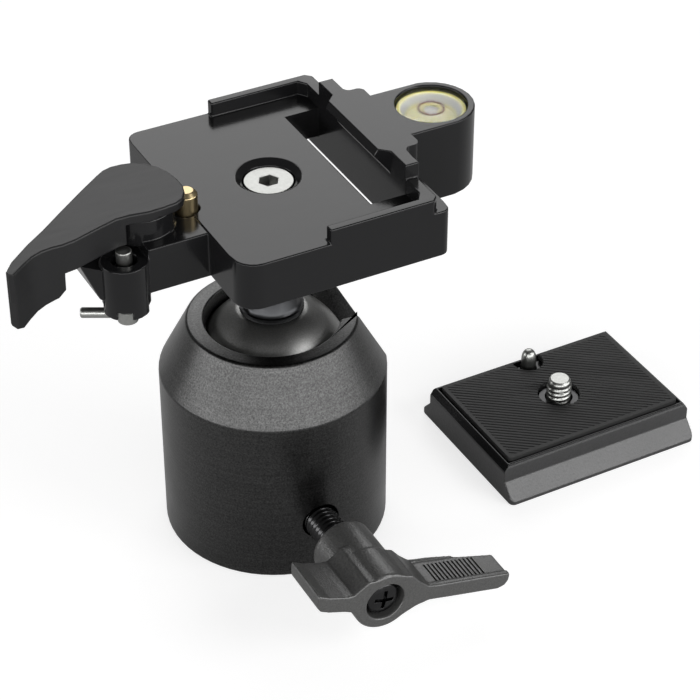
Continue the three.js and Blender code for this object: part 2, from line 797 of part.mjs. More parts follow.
const slotReach = boss.radius + gap.over;
const slotRoof = bossUnder + boss.slotDepth;
const bossSlot = block(-slotReach, slotReach, -slotHalf, slotHalf, bossUnder - gap.over, slotRoof);
const bossSlots = moved(
  join(bossSlot, bossSlot.rotate([0, 0, quarterTurn])).rotate([0, 0, lockHandle.azimuth]),
  bossX,
  bossY,
  0,
);
const triggerFloor = clampUnder + trigger.floor;
const triggerCut = rod(trigger.radius + gap.slip, triggerFloor, deck + gap.over, sides.small);
const triggerBore = moved(triggerCut, triggerX, trigger.y, 0);
const casting = cut(
  join(
    cut(join(deckBody, jawBody, armRoot), slotCut),
    jawLip,
    guideWall(-1),
    guideWall(1),
    levelCasting,
    cut(armEnd, armSlope),
    armHub,
    springCollar,
    bossBody,
  ),
  seatCut,
  pivotBore,
  lockBoreCut,
  bossSlots,
  triggerBore,
  vialPocket,
);
add('clamp_casting', casting, paint);

// Screws of the clamp

function socketHole(across, depth, top) {
  const hex = arc(0, 0, across / Math.sqrt(3), 0, 360, 6).slice(0, -1);
  return prism(hex, top - depth, top + gap.over);
}

const coneStart = headFoot - (seat.bore - mountScrew.shankRadius) + seat.coneGap;
const headCone = coneStart + mountScrew.headRadius - mountScrew.shankRadius;
const headTop = headCone + mountScrew.headRim;
const screwProfile = [
  [0, headTop - mountScrew.length],
  [mountScrew.shankRadius, headTop - mountScrew.length],
  [mountScrew.shankRadius, coneStart],
  [mountScrew.headRadius, headCone],
  [mountScrew.headRadius, headTop],
  [0, headTop],
];
const screwSocket = socketHole(mountScrew.socketAcross, mountScrew.socketDepth, headTop);
add('mount_screw', cut(lathe(screwProfile, sides.medium), screwSocket), steel);

const pivotFoot = clampUnder + gap.slip;
const pivotSocket = socketHole(mountScrew.socketAcross, mountScrew.socketDepth, 0).mirror([0, 0, 1]);
const pivotScrew = cut(
  join(
    rod(pivot.shankRadius, pivotFoot, leverRoof - gap.wide, sides.small),
    rod(pivot.headRadius, pivotFoot, pivotHeadTop, sides.small),
  ),
  moved(pivotSocket, 0, 0, pivotFoot),
);
const atPivot = (solid) => moved(solid, pivotX, pivot.y, 0);
add('lever_pivot_screw', atPivot(pivotScrew), darkSteel);
add('lever_spring', atPivot(coil(springs.lever, armTop + gap.slip, leverRoof - gap.slip)), steel);

// Bubble level
const cupFloor = vialFloor + gap.slip;
const vialTop = jawTop - vial.lensSink;
const lensFoot = vialTop - vial.lensThickness;
const cupInner = vial.cupRadius - vial.cupWall;
const levelCup = lathe(
  [
    [0, cupFloor],
    [vial.cupRadius, cupFloor],
    [vial.cupRadius, lensFoot - gap.slip],
    [cupInner, lensFoot - gap.slip],
    [cupInner, cupFloor + vial.floor],
    [0, cupFloor + vial.floor],
  ],
  sides.medium,
);
const fluidFoot = cupFloor + vial.floor + gap.close;
const fluidTop = fluidFoot + vial.fluidDepth;
const levelFluid = lathe(
  [
    [0, fluidFoot],
    [cupInner - gap.close, fluidFoot],
    [cupInner - gap.close, fluidTop],
    [vial.dimpleRadius, fluidTop],
    [vial.dimpleRadius / 2, fluidTop - vial.dimpleDepth],
    [0, fluidTop - vial.dimpleDepth],
  ],
  sides.medium,
);
const ringFoot = lensFoot - gap.close - vial.ringThickness;
const ringHole = vial.ringRadius - vial.ringWidth;
const levelRing = ring(ringHole, vial.ringRadius, ringFoot, ringFoot + vial.ringThickness, sides.medium);
add('level_cup', moved(levelCup, levelX, 0, 0), acetal);
add('level_fluid', moved(levelFluid, levelX, 0, 0), fluidGreen);
add('level_ring', moved(levelRing, levelX, 0, 0), ringRed);
add('level_lens', moved(rod(vial.lensRadius, lensFoot, vialTop, sides.medium), levelX, 0, 0), acrylic);

// Quick-release lever: a hollow head with a hub, and an arm that ends in a hanging finger tab

function inset(outline, distance) {
  const count = outline.length;
  const turn = Math.sign(THREE.ShapeUtils.area(outline.map(([x, y]) => new THREE.Vector2(x, y))));
  return outline.map(([x, y], i) => {
    const [px, py] = outline[(i + count - 1) % count];
    const [nx, ny] = outline[(i + 1) % count];
    const before = new THREE.Vector2(x - px, y - py).normalize();
    const after = new THREE.Vector2(nx - x, ny - y).normalize();
    const normal = new THREE.Vector2(-(before.y + after.y), before.x + after.x).normalize();
    const spread = Math.max(normal.dot(new THREE.Vector2(-before.y, before.x)), sharpestShare);
    return [x + (turn * normal.x * distance) / spread, y + (turn * normal.y * distance) / spread];
  });
}

const sharpestShare = 0.7;
const headPoint = ([x, y]) => [x * lever.headRadius, y * lever.headRadius];
const armPoint = ([x, y]) => [-x * lever.length, y * lever.breadth];
const tabPath = tabShares.map(armPoint);
const leverOutline = [
  ...headFarShares.map(headPoint),
  ...armFarShares.map(armPoint),
  ...tabPath,
  ...armNearShares.map(armPoint),
  ...headNearShares.map(headPoint),
];
const hollowOutline = leverOutline.filter(([x]) => x > -lever.hollowReach);
const hollow = prism(inset(hollowOutline, lever.wall), leverFoot - gap.over, leverRoof);
const leverHub = rod(lever.hubRadius, leverFoot, leverTop, sides.small);
const leverBore = rod(pivot.shankRadius + gap.close, leverFoot - gap.over, leverRoof, sides.small);
const windowTop = leverFoot + window.rise;
const windowFoot = leverFoot - gap.over;
const windowCut = block(-window.left, window.right, -window.front, -window.back, windowFoot, windowTop);

// Under the head's roof its wall is open where the trigger pin stands while the lever turns
const pinAngle = THREE.MathUtils.radToDeg(Math.asin((trigger.radius + gap.wide) / triggerReach));
const openFrom = triggerTurn - leverSwing.angle - pinAngle - leverSwing.spareAngle;
const openTo = triggerTurn + pinAngle + leverSwing.spareAngle;
const openOutline = [
  ...arc(0, 0, lever.headRadius + trigger.radius * 2, openFrom, openTo, arcSteps),
  ...arc(0, 0, triggerRoom, openTo, openFrom, arcSteps),
];
const pinOpening = prism(openOutline, leverFoot - gap.over, leverRoof);

// The hanging tab follows the lever's near edge; its inner side is the same path moved inwards
const tabOuter = tabPath.map(([x, y]) => new THREE.Vector2(x, y));
const tabInner = tabOuter.map((point, i) => {
  const a = tabOuter[Math.max(i - 1, 0)];
  const b = tabOuter[Math.min(i + 1, tabOuter.length - 1)];
  const along = b.clone().sub(a).normalize();
  return new THREE.Vector2(point.x - along.y * tab.thickness, point.y + along.x * tab.thickness);
});
const tabPlan = [...tabOuter, ...tabInner.reverse()].map((point) => [point.x, point.y]);
const [tabTip] = tabPath[0];
const [tabRoot] = tabPath[tabPath.length - 1];
const tipFoot = leverFoot - tab.tipHeight;
const rootFoot = leverFoot - tab.rootHeight;
const tabSide = [
  [tabTip - gap.over, tipFoot + tab.cornerCut],
  [tabTip + tab.cornerCut, tipFoot],
  [tabRoot - tab.cornerCut, rootFoot],
  [tabRoot, rootFoot + tab.cornerCut],
  [tabRoot + gap.over, leverTop],
  [tabTip - gap.over, leverTop],
];
const tabPlate = prism(tabPlan, leverFoot - lever.hang, leverTop).intersect(
  sheetAlongY(tabSide, -lever.length, lever.length),
);
const leverHead = join(cut(prism(leverOutline, leverFoot, leverTop), hollow), leverHub);
const leverBody = join(cut(leverHead, leverBore, windowCut, pinOpening), tabPlate);
add('quick_release_lever', atPivot(leverBody), leverMetal);

// Trigger pin that holds the lever open until a plate presses it down
const triggerRod = chamferedRod(trigger.radius, triggerFoot, triggerTop, trigger.tipChamfer, sides.small);
const triggerCoil = coil(springs.trigger, triggerFloor + gap.slip, triggerFoot - gap.slip);
add('trigger_pin', moved(triggerRod, triggerX, trigger.y, 0), brass);
add('trigger_spring', moved(triggerCoil, triggerX, trigger.y, 0), steel);

// Safety lock pin with its side handle
const pinFoot = bossUnder - lockPin.drop;
const pinTop = bossTop + lockPin.rise;
const pinProfile = [
  [0, pinFoot],
  [lockPin.knobRadius, pinFoot],
  [lockPin.knobRadius, pinFoot + lockPin.knobHeight],
  [lockPin.radius, pinFoot + lockPin.knobHeight],
  [lockPin.radius, pinTop - lockPin.tipChamfer],
  [lockPin.radius - lockPin.tipChamfer, pinTop],
  [0, pinTop],
];

function atHandle(solid) {
  const lying = solid.rotate([0, quarterTurn, 0]).rotate([0, 0, lockHandle.azimuth]);
  return moved(lying, 0, 0, pinFoot + lockHandle.height);
}

const handleHole = rod(lockHandle.radius + gap.close, 0, lockPin.knobRadius + gap.over, sides.fine);
const handleRod = chamferedRod(lockHandle.radius, gap.close, lockHandle.reach, lockHandle.round, sides.fine);
const atBoss = (solid) => moved(solid, bossX, bossY, 0);
add('lock_pin', atBoss(cut(lathe(pinProfile, sides.small), atHandle(handleHole))), steel);
add('lock_handle', atBoss(atHandle(handleRod)), steel);
const collarUnder = bossShoulder + lockCollar.rise;
const collarHigh = collarUnder + lockCollar.thickness;
const collarRing = ring(lockPin.radius + gap.close, lockCollar.radius, collarUnder, collarHigh, sides.small);
add('lock_collar', atBoss(collarRing), darkSteel);
add('lock_spring', atBoss(coil(springs.lock, bossShoulder + gap.close, collarUnder - gap.slip)), steel);

// Clamping screw, its wing lever and the screw that holds the lever on
const studFoot = wedgeOuter + gap.travel;
const studTop = boreEnd - gap.slip;
const threadTop = hubBack + stud.threadInHub;
const studBody = cut(
  join(
    threaded(stud.radius, stud.root, stud.pitch, studFoot, threadTop, sides.thread),
    rod(stud.plain, threadTop - gap.close, studTop, sides.small),
  ),
  rod(stud.hole, studTop - stud.holeDepth, studTop + gap.over, sides.fine),
);
add('clamp_stud', onScrewAxis(studBody), darkSteel);

const hubProfile = [
  [0, hubBack],
  [hub.collarRadius - hub.edge, hubBack],
  [hub.collarRadius, hubBack + hub.edge],
  [hub.collarRadius, hubStep],
  [hub.radius, hubStep],
  [hub.radius, hubFront - hub.edge],
  [hub.radius - hub.edge, hubFront],
  [0, hubFront],
];
const hubHollow = join(
  rod(hub.bore, hubBack - gap.over, boreEnd, sides.small),
  rod(hub.webHole, hubBack, hubFront, sides.small),
  rod(hub.recessRadius, recessFloor, hubFront + gap.over, sides.medium),
);
const longOutline = longShares.map(([u, v]) => [u * wing.longReach, v * hub.radius]);
const shortOutline = shortShares.map(([u, v]) => [-u * wing.shortReach, v * hub.radius]);
const panelFloor = wingTop - wing.panelDepth;
const panelFrom = wing.longReach * panelShare;
const panelFront = hubFront - wing.frontBorder;
const panelCut = prism(
  [
    [panelFrom, panelFloor],
    [wing.longReach + gap.over, panelFloor],
    [wing.longReach + gap.over, hub.radius],
    [panelFrom - wing.panelDepth, hub.radius],
  ],
  longBack + wing.backBorder,
  panelFront,
);

// The long wing's back edge leans outwards to its tip; the cut is drawn in u and w
const leanCut = prism(
  [
    [hub.radius, longBack - gap.over],
    [wing.longReach + gap.over, longBack - gap.over],
    [wing.longReach + gap.over, hubBack + wing.tipBack],
  ],
  -hub.radius,
  hub.radius,
)
  .rotate([quarterTurn, 0, 0])
  .mirror([0, 1, 0]);
const grooves = Array.from({ length: grip.count }, (_, i) => {
  const from = wing.longReach * (gripShares.from + gripShares.pitch * i);
  const to = from + wing.longReach * gripShares.width;
  return block(from, to, panelFloor - grip.depth, wingTop, hubBack + grip.back, panelFront - grip.margin);
});
const longBody = cut(prism(longOutline, longBack, hubFront), panelCut, leanCut, ...grooves);
const shortBody = prism(shortOutline.reverse(), hubBack + wing.shortBack, hubFront);
const wingBody = cut(join(longBody, shortBody, lathe(hubProfile, sides.medium)), hubHollow);
const tilted = (solid) => onScrewAxis(solid.rotate([0, 0, wing.tilt]));
add('wing_lever', tilted(wingBody), plastic);

const wingHeadFoot = recessFloor + wingSpringRoom;
const wingHeadTop = wingHeadFoot + wingScrew.headHeight;
const headFlat = wingHeadTop - wingScrew.dome;
const wingScrewProfile = [
  [0, wingHeadFoot - wingScrew.length],
  [wingScrew.shank, wingHeadFoot - wingScrew.length],
  [wingScrew.shank, wingHeadFoot],
  [wingScrew.headRadius, wingHeadFoot],
  [wingScrew.headRadius, headFlat],
  ...domeShares.map((share) => [
    wingScrew.headRadius * Math.cos((share * Math.PI) / 2),
    headFlat + wingScrew.dome * Math.sin((share * Math.PI) / 2),
  ]),
  [0, wingHeadTop],
];
const crossHalf = wingScrew.crossWidth / 2;
const crossArm = wingScrew.crossLength / 2;
const crossFloor = wingHeadTop - wingScrew.crossDepth;
const crossBar = block(-crossArm, crossArm, -crossHalf, crossHalf, crossFloor, hubFront);
const crossBars = join(crossBar, crossBar.rotate([0, 0, quarterTurn]));
add('wing_screw', tilted(cut(lathe(wingScrewProfile, sides.small), crossBars)), darkSteel);
add('wing_spring', onScrewAxis(coil(springs.wing, recessFloor + gap.slip, wingHeadFoot - gap.slip)), steel);

// Loose camera plate
const onTable = (solid) => moved(solid.rotate([0, 0, plateAt.yaw]), plateAt.x, plateAt.y, 0);
const crossSection = [
  [-plateHalfWidth, 0],
  [plateHalfWidth, 0],
  [plateHalfWidth, plate.flange],
  [plateNeck, plate.shoulder],
  [plateNeck, plate.edge],
  [plateRim, plate.top],
  [-plateRim, plate.top],
  [-plateNeck, plate.edge],
  [-plateNeck, plate.shoulder],
  [-plateHalfWidth, plate.flange],
];
const endTop = plate.top - plate.endDrop;
const lengthSection = [
  [-plateHalfLength, -gap.over],
  [plateHalfLength, -gap.over],
  [plateHalfLength, endTop],
  [plateHalfLength - plate.endCut, plate.top],
  [-plateHalfLength + plate.endCut, plate.top],
  [-plateHalfLength, endTop],
];

function rounded(halfX, halfY, radius, from, to) {
  return prism(roundedRectangle(-halfX, halfX, -halfY, halfY, [radius, radius, radius, radius]), from, to);
}

const plateBlank = sheetAlongX(crossSection, -plateHalfLength, plateHalfLength)
  .intersect(sheetAlongY(lengthSection, -plateHalfWidth, plateHalfWidth))
  .intersect(rounded(plateHalfLength, plateHalfWidth, plate.corner, -gap.over, plate.top));
const seatHalfX = plateHalfLength - padSeat.borderEnd;
const seatHalfY = plateRim - padSeat.borderSide;
const padPocket = block(-seatHalfX, seatHalfX, -seatHalfY, seatHalfY, padSeat.floor, plate.top + gap.over);
const atPin = (solid) => moved(solid, videoPin.x, videoPin.y, 0);
const pocketRadius = bail.radius + bail.wire + under.clearance;
const plateBody = cut(
  plateBlank,
  padPocket,
  rod(pocketRadius, -gap.over, under.web, sides.medium),
  rod(under.bore, 0, plate.top, sides.small),
  atPin(rod(videoSeat.bore, 0, plate.top, sides.small)),
  atPin(rod(videoSeat.pocket, -gap.over, under.web, sides.small)),
);
add('plate_body', onTable(plateBody), paint);

const padFoot = padSeat.floor + gap.close;
const padTop = padFoot + pad.thickness;
const padHalfX = seatHalfX - pad.grooveEnd;
const padHalfY = seatHalfY - pad.grooveSide;
const cutCentre = padHalfY - videoSeat.cutDepth + videoSeat.cutHalf;
const pinCut = [
  ...arc(videoPin.x, cutCentre, videoSeat.cutHalf, 180, 360, arcSteps),
  [videoPin.x + videoSeat.cutHalf, plateHalfWidth],
  [videoPin.x - videoSeat.cutHalf, plateHalfWidth],
];
const padBody = cut(
  rounded(padHalfX, padHalfY, pad.corner, padFoot, padTop),
  rod(pad.hole, 0, padTop + gap.over, sides.medium),
  prism(pinCut, 0, padTop + gap.over),
);
add('plate_pad', onTable(padBody), rubber);
const clipRing = ring(clip.inner, clip.inner + clip.width, padFoot, padFoot + clip.thickness, sides.small);
add('screw_clip', onTable(clipRing), steel);

const slotArm = cameraScrew.headRadius + gap.over;
const coinHalf = cameraScrew.slotWidth / 2;
const bailHole = rod(bail.wire + gap.close, -slotArm, slotArm, sides.fine).rotate([0, quarterTurn, 0]);
const cameraThread = threaded(
  cameraScrew.radius,
  cameraScrew.root,
  cameraScrew.pitch,
  cameraScrew.threadFrom,
  cameraScrew.top,
  sides.thread,
);
const cameraScrewBody = cut(
  join(
    cameraThread,
    rod(cameraScrew.root, cameraScrew.headTo - gap.close, cameraScrew.threadFrom + gap.close, sides.small),
    rod(cameraScrew.headRadius, cameraScrew.headFrom, cameraScrew.headTo, sides.medium),
  ),
  block(-coinHalf, coinHalf, -slotArm, slotArm, 0, cameraScrew.headFrom + cameraScrew.slotDepth),
  moved(bailHole, 0, 0, bail.height),
);
add('camera_screw', onTable(cameraScrewBody), steel);

// The folding ring: a half loop whose straight ends turn in the screw's head
class Loop extends THREE.Curve {
  getPoint(t, target = new THREE.Vector3()) {
    const end = 1 / bail.steps;
    const reach = bail.radius - cameraScrew.headRadius + bail.pinReach;
    if (t < end) return target.set(bail.radius - reach * (1 - t / end), 0, bail.height);
    if (t > 1 - end) return target.set(reach * (1 - (1 - t) / end) - bail.radius, 0, bail.height);
    const angle = (Math.PI * (t - end)) / (1 - end - end);
    return target.set(bail.radius * Math.cos(angle), bail.radius * Math.sin(angle), bail.height);
  }
}

const wireSection = arc(0, 0, bail.wire, 0, 360, bail.roundSides).slice(0, -1);
const bailSection = new THREE.Shape(wireSection.map(([x, y]) => new THREE.Vector2(x, y)));
const bailGeometry = new THREE.ExtrudeGeometry(bailSection, { steps: bail.steps, extrudePath: new Loop() });
add('screw_ring', onTable(solidOf(bailGeometry)), steel);

// The sprung pin beside the screw keeps a camera from turning on the plate
const flangeTo = under.web - gap.close;
const flangeFrom = flangeTo - videoPin.flangeThickness;
const capTo = gap.close + videoSeat.capThickness;
const videoProfile = [
  [0, flangeFrom],
  [videoPin.flange, flangeFrom],
  [videoPin.flange, flangeTo],
  [videoPin.radius, flangeTo],
  [videoPin.radius, videoPin.top - videoPin.dome],
  [videoPin.radius - videoPin.dome / 2, videoPin.top - videoPin.dome / 4],
  [videoPin.radius - videoPin.dome, videoPin.top],
  [0, videoPin.top],
];
add('video_pin', onTable(atPin(lathe(videoProfile, sides.small))), steel);
add('video_spring', onTable(atPin(coil(springs.video, capTo + gap.close, flangeFrom - gap.close))), steel);
add('pin_cap', onTable(atPin(rod(videoSeat.pocket - gap.close, gap.close, capTo, sides.small))), darkSteel);

console.log(`least gap between the turns of a spring: ${Math.min(...leastGaps).toFixed(2)} mm`);

export default part;
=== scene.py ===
"""Tripod ball head with its loose camera plate: the finish of every piece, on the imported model."""

import json
import math

import bmesh
import bpy
from bpy.props import FloatProperty, FloatVectorProperty, IntProperty, PointerProperty
from mathutils import Matrix, Vector
from mathutils.kdtree import KDTree

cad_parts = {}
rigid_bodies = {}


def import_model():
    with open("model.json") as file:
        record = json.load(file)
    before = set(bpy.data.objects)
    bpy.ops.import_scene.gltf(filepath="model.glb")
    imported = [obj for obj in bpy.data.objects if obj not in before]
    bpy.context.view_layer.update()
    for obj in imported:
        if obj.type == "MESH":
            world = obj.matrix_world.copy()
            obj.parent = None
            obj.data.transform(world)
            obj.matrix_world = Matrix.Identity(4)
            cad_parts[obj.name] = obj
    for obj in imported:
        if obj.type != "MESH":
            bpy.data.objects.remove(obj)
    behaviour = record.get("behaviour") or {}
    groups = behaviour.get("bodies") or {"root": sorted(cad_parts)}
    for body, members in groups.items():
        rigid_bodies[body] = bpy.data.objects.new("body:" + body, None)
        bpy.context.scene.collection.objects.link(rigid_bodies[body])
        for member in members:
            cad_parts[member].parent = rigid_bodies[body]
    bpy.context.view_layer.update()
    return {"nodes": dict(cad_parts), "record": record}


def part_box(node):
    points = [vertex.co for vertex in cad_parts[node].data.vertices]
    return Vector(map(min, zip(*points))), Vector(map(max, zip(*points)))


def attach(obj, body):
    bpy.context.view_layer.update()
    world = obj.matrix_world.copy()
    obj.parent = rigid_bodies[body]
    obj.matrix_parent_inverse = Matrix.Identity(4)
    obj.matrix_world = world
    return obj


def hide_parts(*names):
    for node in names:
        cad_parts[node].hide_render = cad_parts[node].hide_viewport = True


bl_info = {
    "name": "Tripod ball head",
    "version": (1, 0, 0),
    "blender": (4, 5, 0),
    "location": "3D View > Sidebar > Ball head",
    "description": "Builds and finishes the pieces of a tripod ball head and its camera plate",
    "category": "Object",
}

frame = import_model()

MM = 0.001
PHOTO_WIDTH = 700
SENSOR_WIDTH = 36.0
EDGE_SEGMENTS = 3
EDGE_ANGLE = 30
SMOOTH_ANGLE = 32
WIRE_ANGLE = 60
FLAT_ANGLE = 0.3
ROUNDING_SHARE = 0.45
ROUNDING_TRIES = 5
SIDE_BY_SIDE = math.cos(math.radians(40))
STRAIGHT_ON = 0.9
FLAT_WEIGHT = 100
LEAST_SQUARE = 0.2
FOLD_ANGLE = math.radians(135)
FLIPPED_SHARE = 0.02


def length(name, description, millimetres):
    """A size that a user may change, stored in metres."""
    return FloatProperty(name=name, description=description, default=millimetres * MM, unit="LENGTH",
                         precision=5)


def colour(name, description, value):
    """A finish colour that a user may change."""
    return FloatVectorProperty(name=name, description=description, default=value, subtype="COLOR", size=3,
                               min=0, max=1)


class BALLHEAD_PG_sizes(bpy.types.PropertyGroup):
    """Sizes of the edges and of the fine forms that the construction leaves plain."""

    merge: length("Merge distance", "Corners of a copied solid nearer than this become one", 0.06)
    seam: length("Seam distance", "Points of a spun piece nearer than this become one", 0.002)
    casting_edge: length("Casting edge", "Rounding of the clamp casting's edges", 0.38)
    arm_cut: length("Arm cut", "From the level's middle to the end of its arm's flat sides", 2.6)
    lever_edge: length("Lever edge", "Rounding of the quick-release lever's edges", 0.5)
    wing_cell: length("Clamping lever faces", "Size of the even faces of the moulded plastic lever", 0.2)
    groove_width: length("Groove width", "A lever's face narrower than this can be a groove's floor", 0.6)
    groove_length: length("Groove length", "A lever's face longer than this can be a groove's floor", 6)
    groove_depth: length("Groove depth", "Depth of the grooves of the lever's grip", 0.35)
    groove_trim: length("Groove trim", "How far the grooves stop short of the lever's back edge", 0.7)
    plate_edge: length("Plate edge", "Rounding of the camera plate's edges", 0.35)
    housing_edge: length("Housing edge", "Rounding of the turned housing's edges", 0.35)
    small_edge: length("Small edge", "Rounding of pins, screws and washers", 0.12)
    ball_radius: length("Ball radius", "Radius of the ball", 18)
    rib_pitch: length("Rib pitch", "Distance from one rib of the pad to the next", 1.02)
    rib_height: length("Rib height", "How far the ribs stand above the pad's ground", 0.28)
    groove_share: FloatProperty(name="Groove share", default=0.6, subtype="FACTOR",
                                description="Width of a groove's top between two ribs, as a share of the pitch")
    foot_share: FloatProperty(name="Groove foot share", default=0.45, subtype="FACTOR",
                              description="Width of a groove's foot, as a share of its top")
    rib_border: length("Rib border", "Plain border round the ribs of the pad", 1.0)
    rib_angle: FloatProperty(name="Rib angle", description="Turn of the ribs from the pad's long side",
                             default=math.radians(-36), subtype="ANGLE")
    plate_turn: FloatProperty(name="Plate turn", description="Turn of the loose plate on the table",
                              default=math.radians(0.8), subtype="ANGLE")
    plate_slack: length("Plate slack", "How much the turn makes the pad's box wider than the pad", 0.5)
    pin_radius: length("Pin radius", "Radius of the sprung pin", 1.85)
    pin_tip: length("Pin tip", "Height of the sprung pin's rounded tip", 2.6)
    pin_fullness: FloatProperty(name="Pin fullness", default=0.8,
                                description="Below 1, the tip is fuller than round")
    pin_flange: length("Pin flange", "Thickness of the sprung pin's flange", 0.7)
    screw_tip: length("Screw tip", "Height of the camera screw's plain tip", 1.5)
    screw_tip_radius: length("Screw tip radius", "Radius of the camera screw's plain tip", 2.85)
    screw_taper: FloatProperty(name="Screw taper", default=0.22, subtype="FACTOR",
                               description="How much of its radius the screw's tip loses at its top")
    bubble_radius: length("Bubble radius", "Radius of the level's bubble", 1.7)
    bubble_height: length("Bubble height", "Depth of the bubble in the liquid", 0.9)
    well_depth: length("Well depth", "From the rim of the level's cup down to its floor", 2.3)
    well_wall: length("Well wall", "Thickness of the cup's rim", 0.75)
    well_share: FloatProperty(name="Well share", default=0.78, subtype="FACTOR",
                              description="Width of the liquid's floor, as a share of its top")
    turned_steps: IntProperty(name="Turned steps", default=128, min=32,
                              description="Steps round a turned piece")


class BALLHEAD_PG_colours(bpy.types.PropertyGroup):
    """Colours of the finishes, with the painted shade on the wall of the level's cup and at the edge of its
    bubble.
    """

    enamel: colour("Enamel", "Glossy enamel of the castings", (0.008, 0.008, 0.0085))
    cast: colour("Cast sides", "Rougher painted sides of the camera plate", (0.03, 0.03, 0.0305))
    satin: colour("Satin paint", "Satin paint of the quick-release lever", (0.007, 0.007, 0.0075))
    anodised: colour("Anodised", "Sand-blasted, anodised housing", (0.03, 0.03, 0.0297))
    ball: colour("Ball", "Satin ball", (0.26, 0.26, 0.255))
    chrome: colour("Black chrome", "Polished stem", (0.045, 0.046, 0.048))
    plastic: colour("Plastic", "Grained plastic of the clamping lever", (0.05, 0.05, 0.0488))
    rubber: colour("Rubber", "Ribbed pad", (0.02, 0.02, 0.02))
    zinc: colour("Zinc plate", "Bright plated screws and pins", (0.38, 0.385, 0.37))
    black_steel: colour("Black steel", "Blackened screws", (0.05, 0.05, 0.051))
    brass: colour("Brass", "Trigger pin and wedge", (0.55, 0.44, 0.25))
    acetal: colour("Acetal", "White bearing plastic", (0.8, 0.79, 0.72))
    fluid: colour("Level fluid", "Liquid of the bubble level", (0.98, 0.96, 0.84))
    vial: colour("Level cup", "Tinted floor and rim of the level's cup", (1.0, 0.94, 0.3))
    bubble: colour("Bubble", "The bubble of the level", (0.95, 0.96, 0.9))
    # Painted shade: the dark edge of the bubble.
    bubble_edge_shade: colour("Bubble edge", "The edge of the bubble", (0.2, 0.22, 0.18))
    # Painted shade: the cup's wall is coloured greyer for the shade and dark reflections in the well.
    vial_wall_shade: colour("Level cup wall", "Greyer wall of the level's cup", (0.52, 0.53, 0.47))
    ring: colour("Level ring", "Printed ring of the bubble level", (0.12, 0.012, 0.006))


class BALLHEAD_PG_stage(bpy.types.PropertyGroup):
    """The camera, the lamps and the floor."""

    azimuth: FloatProperty(name="Azimuth", default=math.radians(27.805), subtype="ANGLE",
                           description="Direction in which the camera looks, from +Y towards +X")
    elevation: FloatProperty(name="Elevation", description="Height of the camera above the horizon",
                             default=math.radians(36.288), subtype="ANGLE")
    distance: length("Distance", "From the camera to the point that it looks at", 551.2)
    target: FloatVectorProperty(name="Target", description="The point in the middle of the picture", size=3,
                                default=(0.022363, 0.005, 0.034334), subtype="TRANSLATION", unit="LENGTH")
    focal_pixels: FloatProperty(name="Focal length in pixels", default=2360.6,
                                description="Of the photograph, 700 pixels wide")
    floor_colour: colour("Floor", "Plain pale floor", (0.45, 0.45, 0.45))
    floor_glow: FloatProperty(name="Floor glow", default=0.7,
                              description="Brings the floor to white in the camera")
    mirrored_share: FloatProperty(name="Mirrored share", default=0.15, subtype="FACTOR",
                                  description="Share of the floor's glow that metal and glass mirror")
    world_level: FloatProperty(name="World level", description="Even light from all sides", default=0.12)


SIZES, COLOURS, STAGE = "ballhead_sizes", "ballhead_colours", "ballhead_stage"


def sizes():
    return getattr(bpy.context.scene, SIZES)


def colours():
    return getattr(bpy.context.scene, COLOURS)


# Effects that several materials share


def group_with(name, inputs, outputs):
    """A new shader node group with the named sockets, and its input and output nodes."""
    tree = bpy.data.node_groups.new(name, "ShaderNodeTree")
    for label, kind, value in inputs:
        socket = tree.interface.new_socket(name=label, in_out="INPUT", socket_type=kind)
        if value is not None:
            socket.default_value = value
    for label, kind in outputs:
        tree.interface.new_socket(name=label, in_out="OUTPUT", socket_type=kind)
    return tree, tree.nodes.new("NodeGroupInput"), tree.nodes.new("NodeGroupOutput")


def math_node(tree, operation, first, second):
    """A Math node between two sockets or numbers; returns its output."""
    node = tree.nodes.new("ShaderNodeMath")
    node.operation = operation
    for socket, value in zip(node.inputs, (first, second)):
        if isinstance(value, (int, float)):
            socket.default_value = value
        else:
            tree.links.new(value, socket)
    return node.outputs[0]


def noise_node(tree, vector, scale, detail, roughness=0.5):
    """A Noise Texture on the vector; returns its value output."""
    node = tree.nodes.new("ShaderNodeTexNoise")
    node.inputs["Detail"].default_value = detail
    node.inputs["Roughness"].default_value = roughness
    tree.links.new(vector, node.inputs["Vector"])
    if isinstance(scale, (int, float)):
        node.inputs["Scale"].default_value = scale
    else:
        tree.links.new(scale, node.inputs["Scale"])
    return node.outputs["Fac"]


def tinted(tree, base, factor):
    """The base colour, made lighter or darker by a factor round 1; returns the colour output."""
    node = tree.nodes.new("ShaderNodeMix")
    node.data_type = "RGBA"
    node.blend_type = "MULTIPLY"
    node.inputs["Factor"].default_value = 1
    tree.links.new(base, node.inputs["A"])
    tree.links.new(factor, node.inputs["B"])
    return node.outputs["Result"]


def spread(tree, value, low, high):
    """A value from 0 to 1 taken to the range low to high; returns the output."""
    node = tree.nodes.new("ShaderNodeMapRange")
    for label, number in (("To Min", low), ("To Max", high)):
        if isinstance(number, (int, float)):
            node.inputs[label].default_value = number
        else:
            tree.links.new(number, node.inputs[label])
    tree.links.new(value, node.inputs["Value"])
    return node.outputs["Result"]


